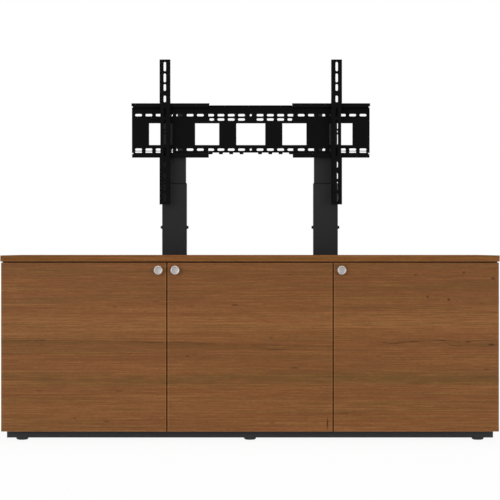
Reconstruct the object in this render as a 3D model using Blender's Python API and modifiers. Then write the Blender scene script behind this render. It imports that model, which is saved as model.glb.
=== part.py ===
"""AV credenza: a three-door cabinet with two lift columns and a slotted screen bracket.

Metres, +Z up. The doors face -Y, and the origin is on the floor under the middle of the object.
Depths named f are measured backwards from the front edge of the top.
"""
import math

import bmesh
import bpy
from mathutils import Matrix, Vector

# Fits
FIT = 0.0003
DOOR_GAP = 0.0045
BUFFER_GAP = 0.002
SHELF_CLEAR = 0.0008
COVER_GAP = 0.003

# Cabinet
TOP_WIDTH = 2.032
TOP_DEPTH = 0.610
TOP_THICKNESS = 0.025
CABINET_HEIGHT = 0.762
TOP_OVERHANG = 0.003
SHADOW_GAP = 0.0045
SPACER_END_INSET = 0.0015
SPACER_FRONT_INSET = 0.006
BOARD = 0.019
DOOR_THICKNESS = 0.019
EDGE_ROUND = 0.001
SERVICE_GAP = 0.029
BACK_THICKNESS = 0.012
PORT_RADIUS = 0.030
PORT_HEIGHT = 0.070
COVER_THICKNESS = 0.012
COVER_NOTCH_WIDTH = 0.120
COVER_NOTCH_HEIGHT = 0.025
SHELF_SETBACK = 0.020
SHELF_REAR_GAP = 0.006

# Base
FOOT_RADIUS = 0.025
FOOT_HEIGHT = 0.013
FOOT_STEM_RADIUS = 0.005
FOOT_STEM_LENGTH = 0.018
FOOT_TOP_RADIUS = 0.024
FOOT_SHOULDER_RADIUS = 0.0225
FOOT_BASE_RADIUS = 0.018
FOOT_RIM_TOP = 0.011
FOOT_RIM_BOTTOM = 0.0078
FOOT_SHOULDER = 0.0026
FOOT_END_INSET = 0.056
FOOT_RAIL_INSET = 0.050
PLINTH_HEIGHT = 0.032
PLINTH_BOARD = 0.019
PLINTH_END_INSET = 0.0145
PLINTH_FRONT = 0.065
PLINTH_REAR_INSET = 0.040
FOOT_PAD = 0.080

# Knobs
KNOB_RADIUS = 0.018
KNOB_LENGTH = 0.025
KNOB_NECK_RADIUS = 0.009
KNOB_NECK_LENGTH = 0.0105
KNOB_FACE_RADIUS = 0.016
KNOB_DISH_RADIUS = 0.0118
KNOB_RIM_ROUND = 0.0007
KNOB_RIM_REACH = 0.0218
KNOB_UNDERCUT_RADIUS = 0.0125
KNOB_UNDERCUT_REACH = 0.015
KNOB_DISH = 0.0012
KNOB_EDGE_OFFSET = 0.032
KNOB_TOP_OFFSET = 0.0305

# Concealed hinges
CUP_RADIUS = 0.0175
CUP_DEPTH = 0.012
CUP_WALL = 0.0011
CUP_EDGE_OFFSET = 0.0225
CUP_FLANGE_WIDTH = 0.023
CUP_FLANGE_HEIGHT = 0.060
CUP_FLANGE_THICKNESS = 0.0012
CUP_FLANGE_CORNER = 0.0058
HINGE_END_OFFSET = 0.100
HINGE_NOSE_NEAR = 0.022
HINGE_NOSE_FAR = 0.031
HINGE_NOSE_CLEAR = 0.0005
HINGE_ARM_WIDTH = 0.016
HINGE_ARM_THICKNESS = 0.012
HINGE_PLATE_FRONT = 0.042
HINGE_PLATE_REAR = 0.082
HINGE_CRANK_START = 0.006
HINGE_CRANK_LEAN = 0.004

# Lift columns
COLUMN_SPACING = 0.666
COLUMN_REAR_MARGIN = 0.033
OUTER_WIDTH = 0.1076
OUTER_DEPTH = 0.064
OUTER_WALL = 0.002
OUTER_CORNER = 0.009
TUBE_GAP = 0.0016
INNER_WALL = 0.002
COLUMN_CUT_CLEAR = 0.002
COLUMN_RISE = 0.3165
COLLAR_FLANGE = 0.004
COLLAR_SKIRT = 0.040
BASE_FLANGE_WIDTH = 0.150
BASE_FLANGE_DEPTH = 0.088
BASE_FLANGE_THICKNESS = 0.006
INNER_LENGTH = 0.896
INNER_ABOVE = 0.0955
INNER_CAP = 0.003
GLIDE_CLEAR = 0.0004
GLIDE_HEIGHT = 0.030
NUT_BOSS_HEIGHT = 0.025
SPINDLE_RADIUS = 0.008
SPINDLE_CLEAR = 0.0006
SPINDLE_LENGTH = 0.740
MOTOR_HEIGHT = 0.150
MOTOR_CLEAR = 0.0008
SADDLE_THICKNESS = 0.005
SADDLE_CHEEK = 0.0035
SADDLE_DEPTH = 0.040
SADDLE_ABOVE = 0.0935
SADDLE_BELOW = 0.0965
HEAD_HOLE_RADIUS = 0.0146
LOWER_HEAD_HOLE_DROP = 0.0785

# Screen bracket
SHEET = 0.0025
RAIL_HALF_LENGTH = 0.343
BRACKET_RISE = 0.222
BRACKET_SHIFT = 0.0034
RAIL_ABOVE = 0.1181
RAIL_BELOW = 0.0888
RAIL_FOLD = 0.012
RAIL_FOLD_HALF_LENGTH = 0.178
TAB_HEIGHT = 0.0071
TAB_WIDTH = 0.020
TAB_TIP_WIDTH = 0.0155
PLATE_INNER_END = 0.181
PLATE_OUTER_END = 0.522
PLATE_WEB_SETBACK = 0.005
LIP_END_SETBACK = 0.0028
PLATE_DEPTH = 0.0279
PLATE_ABOVE = 0.1070
PLATE_BELOW = 0.0953
LIP_ABOVE = 0.1253
LIP_BELOW = 0.1128
RELIEF_HEIGHT = 0.005
RELIEF_DEPTH = 0.006
SLOT_LENGTH = 0.030
SLOT_HEIGHT = 0.0105
SLOT_FIRST = 0.0408
SLOT_PITCH = 0.0452
SLOT_ROW_RISE = 0.0757
SECOND_ROW_RISE = 0.0568
LOWEST_ROW_DROP = 0.0871
SLOT_LOWEST_HEIGHT = 0.0071
RAIL_SLOTS = 7
RAIL_SECOND_ROW_SLOTS = 4
PLATE_FIRST_SLOT = 4
PLATE_LAST_SLOT = 10
PLATE_FIRST_LOW_SLOT = 7
CENTRE_HOLE_RADIUS = 0.0048
WINDOW_ABOVE = 0.0398
WINDOW_BELOW = 0.0555
WINDOW_CENTRE_HALF = 0.0634
WINDOW_INNER = (0.139, 0.2444)
WINDOW_OUTER = (0.342, 0.4464)

# Screen arms
ARM_SPACING = 0.749
ARM_WIDTH = 0.0464
ARM_END_MARGIN = 0.0109
ARM_DROP = 0.0024
ARM_DEPTH = 0.0277
ARM_RELIEF = 0.0036
ARM_SLOT_WIDTH = 0.0108
ARM_SLOT_PITCH = 0.050
ARM_SLOT_END = 0.005
ARM_SLOT_LENGTHS = (0.0425, 0.040, 0.0256, 0.0258, 0.0350, 0.0380)
HOOK_RISE = 0.014
HOOK_DROP = 0.009
HOOK_TOOTH = 0.006
TOE_HEIGHT = 0.012
TOE_REACH = 0.007

# Control box
BOX_WIDTH = 0.260
BOX_HEIGHT = 0.080
BOX_DEPTH = 0.040
BOX_RISE = 0.236
BOX_CORNER = 0.006
INLET_WIDTH = 0.028
INLET_HEIGHT = 0.020
INLET_DEPTH = 0.012

# Round faces
CIRCLE_STEPS = 20
SLOT_STEPS = 12
CORNER_STEPS = 3

# Working values
WELD = 0.00001
AXIS_MARK = 0.05
HALF_TURN = math.pi

# Places that follow from the sizes
KNOB_REACH = KNOB_LENGTH + FIT - TOP_OVERHANG
TOP_FRONT_Y = (KNOB_REACH - TOP_DEPTH) / 2
BODY_HALF = TOP_WIDTH / 2 - TOP_OVERHANG
BODY_BOTTOM = FOOT_HEIGHT + PLINTH_HEIGHT
BODY_TOP = CABINET_HEIGHT - TOP_THICKNESS - SHADOW_GAP
DOOR_BACK = TOP_OVERHANG + DOOR_THICKNESS
BODY_FRONT = DOOR_BACK + BUFFER_GAP
BODY_REAR = TOP_DEPTH - TOP_OVERHANG
ROOM_BOTTOM = BODY_BOTTOM + BOARD + FIT
ROOM_TOP = BODY_TOP - BOARD - FIT
ROOM_HALF = BODY_HALF - BOARD - FIT
SHELF_LEVEL = (ROOM_BOTTOM + ROOM_TOP - BOARD) / 2
DOOR_WIDTH = (2 * BODY_HALF - 2 * DOOR_GAP) / 3
PARTITION_X = (DOOR_WIDTH + DOOR_GAP) / 2
COLUMN_X = COLUMN_SPACING / 2
COLUMN_F = TOP_DEPTH - COLUMN_REAR_MARGIN - OUTER_DEPTH / 2
BACK_REAR = COLUMN_F - BASE_FLANGE_DEPTH / 2 - SERVICE_GAP
BACK_FRONT = BACK_REAR - BACK_THICKNESS
INNER_WIDTH = OUTER_WIDTH - 2 * (OUTER_WALL + TUBE_GAP)
INNER_DEPTH = OUTER_DEPTH - 2 * (OUTER_WALL + TUBE_GAP)
COLUMN_MOUTH = CABINET_HEIGHT + COLUMN_RISE
BRACKET_CENTRE = COLUMN_MOUTH + BRACKET_RISE
INNER_TOP = BRACKET_CENTRE + INNER_ABOVE
INNER_BOTTOM = INNER_TOP - INNER_LENGTH
SADDLE_TOP = BRACKET_CENTRE + SADDLE_ABOVE
SADDLE_BOTTOM = BRACKET_CENTRE - SADDLE_BELOW
RAIL_TOP = BRACKET_CENTRE + RAIL_ABOVE
RAIL_BOTTOM = BRACKET_CENTRE - RAIL_BELOW
PLATE_FOLD_TOP = BRACKET_CENTRE + PLATE_ABOVE
PLATE_FOLD_BOTTOM = BRACKET_CENTRE - PLATE_BELOW
PLATE_LIP_TOP = BRACKET_CENTRE + LIP_ABOVE
PLATE_LIP_BOTTOM = BRACKET_CENTRE - LIP_BELOW
SLOT_ROW_TOP = BRACKET_CENTRE + SLOT_ROW_RISE
SLOT_ROW_SECOND = BRACKET_CENTRE + SECOND_ROW_RISE
SLOT_ROW_BOTTOM = BRACKET_CENTRE - SLOT_ROW_RISE
SLOT_ROW_LOWEST = BRACKET_CENTRE - LOWEST_ROW_DROP
HEAD_HOLE_HEIGHTS = (SLOT_ROW_TOP, BRACKET_CENTRE - LOWER_HEAD_HOLE_DROP)
WINDOW_TOP = BRACKET_CENTRE + WINDOW_ABOVE
WINDOW_BOTTOM = BRACKET_CENTRE - WINDOW_BELOW
ARM_CENTRE = BRACKET_CENTRE - ARM_DROP
SADDLE_FRONT = COLUMN_F - INNER_DEPTH / 2 - FIT - SADDLE_THICKNESS
RAIL_WEB = SADDLE_FRONT - FIT - SHEET / 2
PLATE_WEB = RAIL_WEB - SHEET - FIT
LIP_FRONT = PLATE_WEB - PLATE_DEPTH - SHEET / 2
LIP_BACK = LIP_FRONT + SHEET
ARM_X = ARM_SPACING / 2
ARM_BACK = LIP_FRONT - FIT
ARM_FRONT = ARM_BACK - ARM_DEPTH
ARM_HALF_LENGTH = ARM_SLOT_PITCH * len(ARM_SLOT_LENGTHS) + ARM_SLOT_END + ARM_END_MARGIN
MOTOR_BOTTOM = ROOM_BOTTOM + BASE_FLANGE_THICKNESS + FIT
SPINDLE_BOTTOM = MOTOR_BOTTOM + MOTOR_HEIGHT + FIT
BOX_LEVEL = ROOM_BOTTOM + BOX_RISE

for leftover in list(bpy.data.objects):
    bpy.data.objects.remove(leftover, do_unlink=True)

parts = bpy.data.collections.new("av_credenza")
cutters = bpy.data.collections.new("cutters")
bpy.context.scene.collection.children.link(parts)
bpy.context.scene.collection.children.link(cutters)


def screen_colour(red, green, blue):
    """Linear colour of an 8-bit screen colour."""
    return tuple(((channel / 255 + 0.055) / 1.055) ** 2.4 for channel in (red, green, blue)) + (1.0,)


def finish(name, colour, roughness, metallic=0.0):
    """A Principled material for one of the object's finishes."""
    material = bpy.data.materials.new(name)
    material.use_nodes = True
    shader = material.node_tree.nodes["Principled BSDF"]
    shader.inputs["Base Color"].default_value = colour
    shader.inputs["Roughness"].default_value = roughness
    shader.inputs["Metallic"].default_value = metallic
    return material


WALNUT = finish("walnut_laminate", screen_colour(126, 84, 50), 0.45)
BLACK_BOARD = finish("black_laminate", screen_colour(49, 49, 50), 0.6)
SATIN_METAL = finish("satin_metal", screen_colour(186, 182, 178), 0.35, 1.0)
HINGE_STEEL = finish("nickel_steel", screen_colour(176, 176, 174), 0.3, 1.0)
COLUMN_PAINT = finish("column_powder_coat", screen_colour(42, 42, 42), 0.55)
BRACKET_PAINT = finish("bracket_powder_coat", screen_colour(20, 20, 20), 0.5)
BLACK_PLASTIC = finish("black_plastic", screen_colour(34, 34, 34), 0.5)
SPINDLE_STEEL = finish("bright_steel", screen_colour(150, 150, 150), 0.3, 1.0)


def y_at(f):
    """Y of a depth measured back from the front edge of the top."""
    return TOP_FRONT_Y + f


def add(name, shape, material=None):
    """Make an object from a bmesh: a part if it has a material, otherwise a cutter."""
    mesh = bpy.data.meshes.new(name)
    shape.to_mesh(mesh)
    shape.free()
    piece = bpy.data.objects.new(name, mesh)
    if material is None:
        cutters.objects.link(piece)
        piece.hide_render = True
        piece.display_type = "WIRE"
    else:
        parts.objects.link(piece)
        mesh.materials.append(material)
    return piece


def block(x, f, z):
    """A box between two X, two depths and two heights."""
    low = Vector((x[0], y_at(f[0]), z[0]))
    high = Vector((x[1], y_at(f[1]), z[1]))
    shape = bmesh.new()
    bmesh.ops.create_cube(shape, size=1.0)
    bmesh.ops.scale(shape, vec=high - low, verts=shape.verts)
    bmesh.ops.translate(shape, vec=(low + high) / 2, verts=shape.verts)
    return shape


def upright(centre_x, width, depth, z, corner):
    """A column section with rounded upright corners, centred on a column's axis."""
    shape = block((centre_x - width / 2, centre_x + width / 2),
                  (COLUMN_F - depth / 2, COLUMN_F + depth / 2), z)
    round_uprights(shape, corner)
    return shape


def round_uprights(shape, corner):
    """Round the vertical edges of a box."""
    edges = [edge for edge in shape.edges
             if abs(edge.verts[0].co.z - edge.verts[1].co.z) > max(corner, FIT)]
    bmesh.ops.bevel(shape, geom=edges, offset=corner, segments=CORNER_STEPS, profile=0.5,
                    affect="EDGES", material=-1)


def merged(*shapes):
    """Put several closed shapes into one bmesh."""
    whole = bmesh.new()
    for shape in shapes:
        holder = bpy.data.meshes.new("holder")
        shape.to_mesh(holder)
        shape.free()
        whole.from_mesh(holder)
        bpy.data.meshes.remove(holder)
    return whole


def rod(radius, length, steps=CIRCLE_STEPS):
    """A cylinder along Z, standing on the origin."""
    shape = bmesh.new()
    bmesh.ops.create_cone(shape, cap_ends=True, segments=steps, radius1=radius, radius2=radius,
                          depth=length)
    bmesh.ops.translate(shape, vec=(0, 0, length / 2), verts=shape.verts)
    return shape


def placed(shape, location, turn=None):
    """Turn a shape about the origin, then move it."""
    if turn is not None:
        bmesh.ops.rotate(shape, cent=(0, 0, 0), matrix=turn, verts=shape.verts)
    bmesh.ops.translate(shape, vec=location, verts=shape.verts)
    return shape


def slot(x, z, length, height, f, upright_slot=False):
    """A round-ended slot cutter through a sheet at depth f, lying along X or along Z."""
    shape = bmesh.new()
    bmesh.ops.create_circle(shape, cap_ends=True, radius=height / 2, segments=SLOT_STEPS)
    bmesh.ops.rotate(shape, cent=(0, 0, 0), matrix=Matrix.Rotation(HALF_TURN / SLOT_STEPS, 3, "Z"),
                     verts=shape.verts)
    stretch = (length - height) / 2
    for vert in shape.verts:
        vert.co.x += math.copysign(stretch, vert.co.x)
    through = 6 * SHEET
    grown = bmesh.ops.extrude_face_region(shape, geom=shape.faces[:])
    bmesh.ops.translate(shape, vec=(0, 0, through),
                        verts=[item for item in grown["geom"] if isinstance(item, bmesh.types.BMVert)])
    bmesh.ops.translate(shape, vec=(0, 0, -through / 2), verts=shape.verts)
    bmesh.ops.recalc_face_normals(shape, faces=shape.faces)
    turn = Matrix.Rotation(HALF_TURN / 2, 3, "X")
    if upright_slot:
        turn = Matrix.Rotation(HALF_TURN / 2, 3, "Y") @ turn
    return placed(shape, (x, y_at(f), z), turn)


def outline(points, thickness, plane):
    """A flat outline from a filled 2D curve, as thick as asked.

    plane "side" reads the points as (f, z) and thickens along X. plane "top" reads them as (x, f)
    and thickens along Z.
    """
    curve = bpy.data.curves.new("outline", "CURVE")
    curve.dimensions = "2D"
    curve.fill_mode = "BOTH"
    curve.extrude = thickness / 2
    spline = curve.splines.new("POLY")
    spline.points.add(len(points) - 1)
    for point, (first, second) in zip(spline.points, points):
        point.co = (first, second, 0, 1)
    spline.use_cyclic_u = True
    flat = bpy.data.objects.new("outline", curve)
    cutters.objects.link(flat)
    bpy.context.view_layer.update()
    evaluated = flat.evaluated_get(bpy.context.evaluated_depsgraph_get())
    mesh = bpy.data.meshes.new_from_object(evaluated)
    shape = bmesh.new()
    shape.from_mesh(mesh)
    bmesh.ops.remove_doubles(shape, verts=shape.verts, dist=WELD)
    bpy.data.objects.remove(flat, do_unlink=True)
    bpy.data.curves.remove(curve)
    bpy.data.meshes.remove(mesh)
    if plane == "side":
        for vert in shape.verts:
            vert.co = Vector((vert.co.z, y_at(vert.co.x), vert.co.y))
    else:
        for vert in shape.verts:
            vert.co = Vector((vert.co.x, y_at(vert.co.y), vert.co.z))
    bmesh.ops.recalc_face_normals(shape, faces=shape.faces)
    return shape


def folded_sheet(points, start, end, along):
    """An open sheet: a chain of points swept from start to end along X or Z.

    Along X the points are (f, z); along Z they are (x, f).
    """
    shape = bmesh.new()
    verts = []
    for first, second in points:
        place = (start, y_at(first), second) if along == "X" else (first, y_at(second), start)
        verts.append(shape.verts.new(place))
    for near, far in zip(verts, verts[1:]):
        shape.edges.new((near, far))
    grown = bmesh.ops.extrude_edge_only(shape, edges=shape.edges[:])
    travel = Vector((end - start, 0, 0)) if along == "X" else Vector((0, 0, end - start))
    bmesh.ops.translate(shape, vec=travel,
                        verts=[item for item in grown["geom"] if isinstance(item, bmesh.types.BMVert)])
    bmesh.ops.recalc_face_normals(shape, faces=shape.faces)
    return shape


def thicken(piece):
    """Give an open sheet its wall, half on each side."""
    wall = piece.modifiers.new("wall", "SOLIDIFY")
    wall.thickness = SHEET
    wall.offset = 0.0
    wall.use_even_offset = True


def cut(piece, shape, operation="DIFFERENCE"):
    """Cut a shape out of a piece, or join it on."""
    tool = add(piece.name + "_" + operation.lower() + str(len(piece.modifiers)), shape)
    tool.location = piece.location
    change = piece.modifiers.new(tool.name, "BOOLEAN")
    change.operation = operation
    change.object = tool


def ease(piece, width=EDGE_ROUND, steps=1):
    """Break the sharp edges of a board."""
    bevel = piece.modifiers.new("edges", "BEVEL")
    bevel.width = width
    bevel.segments = steps
    bevel.limit_method = "ANGLE"


def turned(name, profile, material, location, turn=None):
    """A turned piece from (radius, height) points, running down its outer side."""
    shape = bmesh.new()
    verts = [shape.verts.new((radius, 0, height)) for radius, height in profile]
    for upper, lower in zip(verts, verts[1:]):
        shape.edges.new((upper, lower))
    piece = add(name, shape, material)
    spin = piece.modifiers.new("turn", "SCREW")
    spin.steps = CIRCLE_STEPS
    spin.render_steps = CIRCLE_STEPS
    spin.use_merge_vertices = True
    spin.merge_threshold = WELD
    spin.use_smooth_shade = True
    piece.location = location
    if turn is not None:
        piece.rotation_euler = turn
    return piece


def frozen(piece):
    """The mesh of a piece with its modifiers applied, for copies that share it."""
    bpy.context.view_layer.update()
    evaluated = piece.evaluated_get(bpy.context.evaluated_depsgraph_get())
    return bpy.data.meshes.new_from_object(evaluated)


def joint_frame(name, location, pieces):
    """An empty on a joint's axis that carries the pieces of a moving body."""
    axis = bpy.data.objects.new(name, None)
    axis.location = location
    axis.empty_display_size = AXIS_MARK
    parts.objects.link(axis)
    bpy.context.view_layer.update()
    for piece in pieces:
        piece.parent = axis
        piece.matrix_parent_inverse = axis.matrix_world.inverted()
    return axis


def head_holes(x):
    """Cutters for the see-through fixing holes in a column's head."""
    holes = [placed(rod(HEAD_HOLE_RADIUS, 2 * OUTER_DEPTH, SLOT_STEPS), (x, y_at(COLUMN_F + OUTER_DEPTH), z),
                    Matrix.Rotation(HALF_TURN / 2, 3, "X")) for z in HEAD_HOLE_HEIGHTS]
    return merged(*holes)


def column_holes(z):
    """Cutters for the two column openings in a board."""
    holes = [upright(side * COLUMN_X, OUTER_WIDTH + 2 * COLUMN_CUT_CLEAR,
                     OUTER_DEPTH + 2 * COLUMN_CUT_CLEAR, z, OUTER_CORNER) for side in (-1, 1)]
    return merged(*holes)


# Top, spacer and carcass
top = add("top_panel", block((-TOP_WIDTH / 2, TOP_WIDTH / 2), (0, TOP_DEPTH),
                             (CABINET_HEIGHT - TOP_THICKNESS, CABINET_HEIGHT)), WALNUT)
ease(top, steps=2)
cut(top, column_holes((BODY_TOP, CABINET_HEIGHT + TOP_THICKNESS)))

spacer_half = BODY_HALF - SPACER_END_INSET
spacer = add("top_spacer", block((-spacer_half, spacer_half),
                                 (BODY_FRONT + SPACER_FRONT_INSET, BODY_REAR - SPACER_END_INSET),
                                 (BODY_TOP + FIT, BODY_TOP + SHADOW_GAP - FIT)), BLACK_BOARD)
cut(spacer, column_holes((BODY_TOP - BOARD, CABINET_HEIGHT)))

sub_top = add("sub_top", block((-ROOM_HALF, ROOM_HALF), (BODY_FRONT, BODY_REAR),
                               (BODY_TOP - BOARD, BODY_TOP)), BLACK_BOARD)
cut(sub_top, column_holes((BODY_TOP - 2 * BOARD, CABINET_HEIGHT)))

add("bottom_panel", block((-ROOM_HALF, ROOM_HALF), (BODY_FRONT, BODY_REAR),
                          (BODY_BOTTOM, BODY_BOTTOM + BOARD)), WALNUT)

for side, word in ((-1, "left"), (1, "right")):
    panel = add("side_panel_" + word,
                block(sorted((side * BODY_HALF, side * (BODY_HALF - BOARD))),
                      (BODY_FRONT, BODY_REAR), (BODY_BOTTOM, BODY_TOP)), WALNUT)
    ease(panel)
    add("partition_" + word,
        block((side * PARTITION_X - BOARD / 2, side * PARTITION_X + BOARD / 2),
              (BODY_FRONT, BACK_FRONT - FIT), (ROOM_BOTTOM, ROOM_TOP)), WALNUT)

inner_back = add("inner_back", block((-ROOM_HALF, ROOM_HALF), (BACK_FRONT, BACK_REAR),
                                     (ROOM_BOTTOM, ROOM_TOP)), WALNUT)
room_middle = (PARTITION_X + BODY_HALF) / 2
ports = [placed(rod(PORT_RADIUS, 3 * BACK_THICKNESS),
                (x, y_at(BACK_REAR + BACK_THICKNESS), ROOM_BOTTOM + PORT_HEIGHT),
                Matrix.Rotation(HALF_TURN / 2, 3, "X")) for x in (-room_middle, 0, room_middle)]
cut(inner_back, merged(*ports))

# Rooms between the uprights, left to right: name, left face, right face
rooms = (("left", -ROOM_HALF, -PARTITION_X - BOARD / 2),
         ("centre", -PARTITION_X + BOARD / 2, PARTITION_X - BOARD / 2),
         ("right", PARTITION_X + BOARD / 2, ROOM_HALF))
for word, left_face, right_face in rooms:
    shelf = add("shelf_" + word,
                block((left_face + SHELF_CLEAR, right_face - SHELF_CLEAR),
                      (BODY_FRONT + SHELF_SETBACK, BACK_FRONT - SHELF_REAR_GAP),
                      (SHELF_LEVEL, SHELF_LEVEL + BOARD)), WALNUT)
    ease(shelf)

cover_split = (-ROOM_HALF, -PARTITION_X, PARTITION_X, ROOM_HALF)
for word, left_end, right_end in zip(("left", "centre", "right"), cover_split, cover_split[1:]):
    cover = add("rear_cover_" + word,
                block((left_end + COVER_GAP / 2, right_end - COVER_GAP / 2),
                      (BODY_REAR - COVER_THICKNESS, BODY_REAR), (ROOM_BOTTOM, ROOM_TOP)), WALNUT)
    middle = (left_end + right_end) / 2
    cut(cover, block((middle - COVER_NOTCH_WIDTH / 2, middle + COVER_NOTCH_WIDTH / 2),
                     (BODY_REAR - 2 * COVER_THICKNESS, BODY_REAR + COVER_THICKNESS),
                     (BODY_BOTTOM, ROOM_BOTTOM + COVER_NOTCH_HEIGHT)))

# Plinth and feet
plinth_half = BODY_HALF - PLINTH_END_INSET
plinth_rear = BODY_REAR - PLINTH_REAR_INSET
plinth = add("plinth_frame", block((-plinth_half, plinth_half), (PLINTH_FRONT, plinth_rear),
                                   (FOOT_HEIGHT + FIT, BODY_BOTTOM - FIT)), BLACK_BOARD)
foot_x = plinth_half - FOOT_END_INSET
foot_f = (PLINTH_FRONT + FOOT_RAIL_INSET, plinth_rear - FOOT_RAIL_INSET)
bay_ends = (FOOT_PAD / 2, plinth_half - PLINTH_BOARD)
bays = []
for side in (-1, 1):
    bays.append(block(sorted((side * bay_ends[0], side * bay_ends[1])),
                      (PLINTH_FRONT + PLINTH_BOARD, plinth_rear - PLINTH_BOARD), (0, BODY_BOTTOM + BOARD)))
cut(plinth, merged(*bays))
foot_places = [(word_x + "_" + word_f, x, f) for word_f, f in (("front", foot_f[0]), ("rear", foot_f[1]))
               for word_x, x in (("left", -foot_x), ("centre", 0), ("right", foot_x))]
pads = [block((x - FOOT_PAD / 2, x + FOOT_PAD / 2), (f - FOOT_PAD / 2, f + FOOT_PAD / 2),
              (FOOT_HEIGHT + FIT, BODY_BOTTOM - FIT)) for word, x, f in foot_places if x]
for pad in pads:
    cut(plinth, pad, "UNION")
bores = [placed(rod(FOOT_STEM_RADIUS + FIT, BODY_BOTTOM), (x, y_at(f), FOOT_HEIGHT - FOOT_STEM_LENGTH))
         for word, x, f in foot_places]
cut(plinth, merged(*bores))

stem_top = FOOT_HEIGHT + FOOT_STEM_LENGTH
foot_profile = ((0, stem_top), (FOOT_STEM_RADIUS, stem_top), (FOOT_STEM_RADIUS, FOOT_HEIGHT),
                (FOOT_TOP_RADIUS, FOOT_HEIGHT), (FOOT_RADIUS, FOOT_RIM_TOP), (FOOT_RADIUS, FOOT_RIM_BOTTOM),
                (FOOT_SHOULDER_RADIUS, FOOT_SHOULDER), (FOOT_BASE_RADIUS, 0), (0, 0))
for word, x, f in foot_places:
    turned("foot_" + word, foot_profile, BLACK_PLASTIC, (x, y_at(f), 0))

# Doors, knobs and hinges: name, left edge, hinge side, carrying face beside the hinge
rim_radius = KNOB_RADIUS - KNOB_RIM_ROUND
rim_back = 2 * KNOB_RIM_REACH - KNOB_LENGTH
knob_profile = ((0, KNOB_LENGTH - KNOB_DISH), (KNOB_DISH_RADIUS, KNOB_LENGTH - KNOB_DISH),
                (KNOB_FACE_RADIUS, KNOB_LENGTH), (rim_radius, KNOB_LENGTH - KNOB_RIM_ROUND),
                (KNOB_RADIUS, KNOB_RIM_REACH), (rim_radius, rim_back),
                (KNOB_UNDERCUT_RADIUS, KNOB_UNDERCUT_REACH), (KNOB_NECK_RADIUS, KNOB_NECK_LENGTH),
                (KNOB_NECK_RADIUS, 0), (0, 0))
hinge_heights = (BODY_BOTTOM + HINGE_END_OFFSET, BODY_TOP - HINGE_END_OFFSET)
face_turn = Matrix.Rotation(HALF_TURN / 2, 3, "X")

cup_shape = rod(CUP_RADIUS, CUP_DEPTH)
cup_model = add("cup_model", cup_shape)
flange = block((-CUP_FLANGE_WIDTH / 2, CUP_FLANGE_WIDTH / 2),
               (-CUP_FLANGE_HEIGHT / 2 - TOP_FRONT_Y, CUP_FLANGE_HEIGHT / 2 - TOP_FRONT_Y),
               (CUP_DEPTH + FIT, CUP_DEPTH + FIT + CUP_FLANGE_THICKNESS))
round_uprights(flange, CUP_FLANGE_CORNER)
collar = rod(CUP_RADIUS, CUP_FLANGE_THICKNESS + 2 * FIT)
cut(cup_model, placed(collar, (0, 0, CUP_DEPTH - FIT)), "UNION")
cut(cup_model, flange, "UNION")
cut(cup_model, placed(rod(CUP_RADIUS - CUP_WALL, CUP_DEPTH + BOARD), (0, 0, CUP_WALL)))
cup_mesh = frozen(cup_model)
bpy.data.objects.remove(cup_model, do_unlink=True)
cup_mesh.materials.clear()
cup_mesh.materials.append(HINGE_STEEL)

doors = (("left", -BODY_HALF, -1, BOARD),
         ("centre", -DOOR_WIDTH / 2, 1, (BOARD - DOOR_GAP) / 2),
         ("right", BODY_HALF - DOOR_WIDTH, 1, BOARD))
for word, left_edge, side, face in doors:
    right_edge = left_edge + DOOR_WIDTH
    hinge_edge, free_edge = (left_edge, right_edge) if side < 0 else (right_edge, left_edge)
    door = add("door_" + word, block((left_edge, right_edge), (TOP_OVERHANG, DOOR_BACK),
                                     (BODY_BOTTOM, BODY_TOP)), WALNUT)
    ease(door, steps=2)
    cup_x = hinge_edge - side * CUP_EDGE_OFFSET
    bores = [placed(rod(CUP_RADIUS + FIT, 2 * CUP_DEPTH), (cup_x, y_at(DOOR_BACK + CUP_DEPTH - FIT), z),
                    face_turn) for z in hinge_heights]
    cut(door, merged(*bores))
    knob = turned("knob_" + word, knob_profile, SATIN_METAL,
                  (free_edge + side * KNOB_EDGE_OFFSET, y_at(TOP_OVERHANG - FIT), BODY_TOP - KNOB_TOP_OFFSET),
                  (HALF_TURN / 2, 0, 0))
    moving = [door, knob]
    for level, z in zip(("lower", "upper"), hinge_heights):
        cup = bpy.data.objects.new("hinge_cup_" + word + "_" + level, cup_mesh)
        cup.location = (cup_x, y_at(DOOR_BACK - CUP_DEPTH), z)
        cup.rotation_euler = (-HALF_TURN / 2, 0, 0)
        parts.objects.link(cup)
        moving.append(cup)
        nose_front = DOOR_BACK - CUP_DEPTH + CUP_WALL + HINGE_NOSE_CLEAR
        near, far = HINGE_NOSE_NEAR, HINGE_NOSE_FAR
        mount = face + FIT
        bar = mount + HINGE_ARM_THICKNESS
        plate_front, plate_rear = TOP_OVERHANG + HINGE_PLATE_FRONT, TOP_OVERHANG + HINGE_PLATE_REAR
        crank = BODY_FRONT + HINGE_CRANK_START
        inward = ((mount, plate_rear), (mount, plate_front), (near, crank), (near, nose_front),
                  (far, nose_front), (far, crank + HINGE_CRANK_LEAN),
                  (bar, plate_front + HINGE_CRANK_LEAN), (bar, plate_rear))
        arm_points = [(hinge_edge - side * reach, f) for reach, f in inward]
        hinge_arm = outline(arm_points, HINGE_ARM_WIDTH, "top")
        add("hinge_arm_" + word + "_" + level, placed(hinge_arm, (0, 0, z)), HINGE_STEEL)
    joint_frame("door_" + word + "_axis", (hinge_edge, y_at(TOP_OVERHANG), BODY_BOTTOM), moving)

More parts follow.
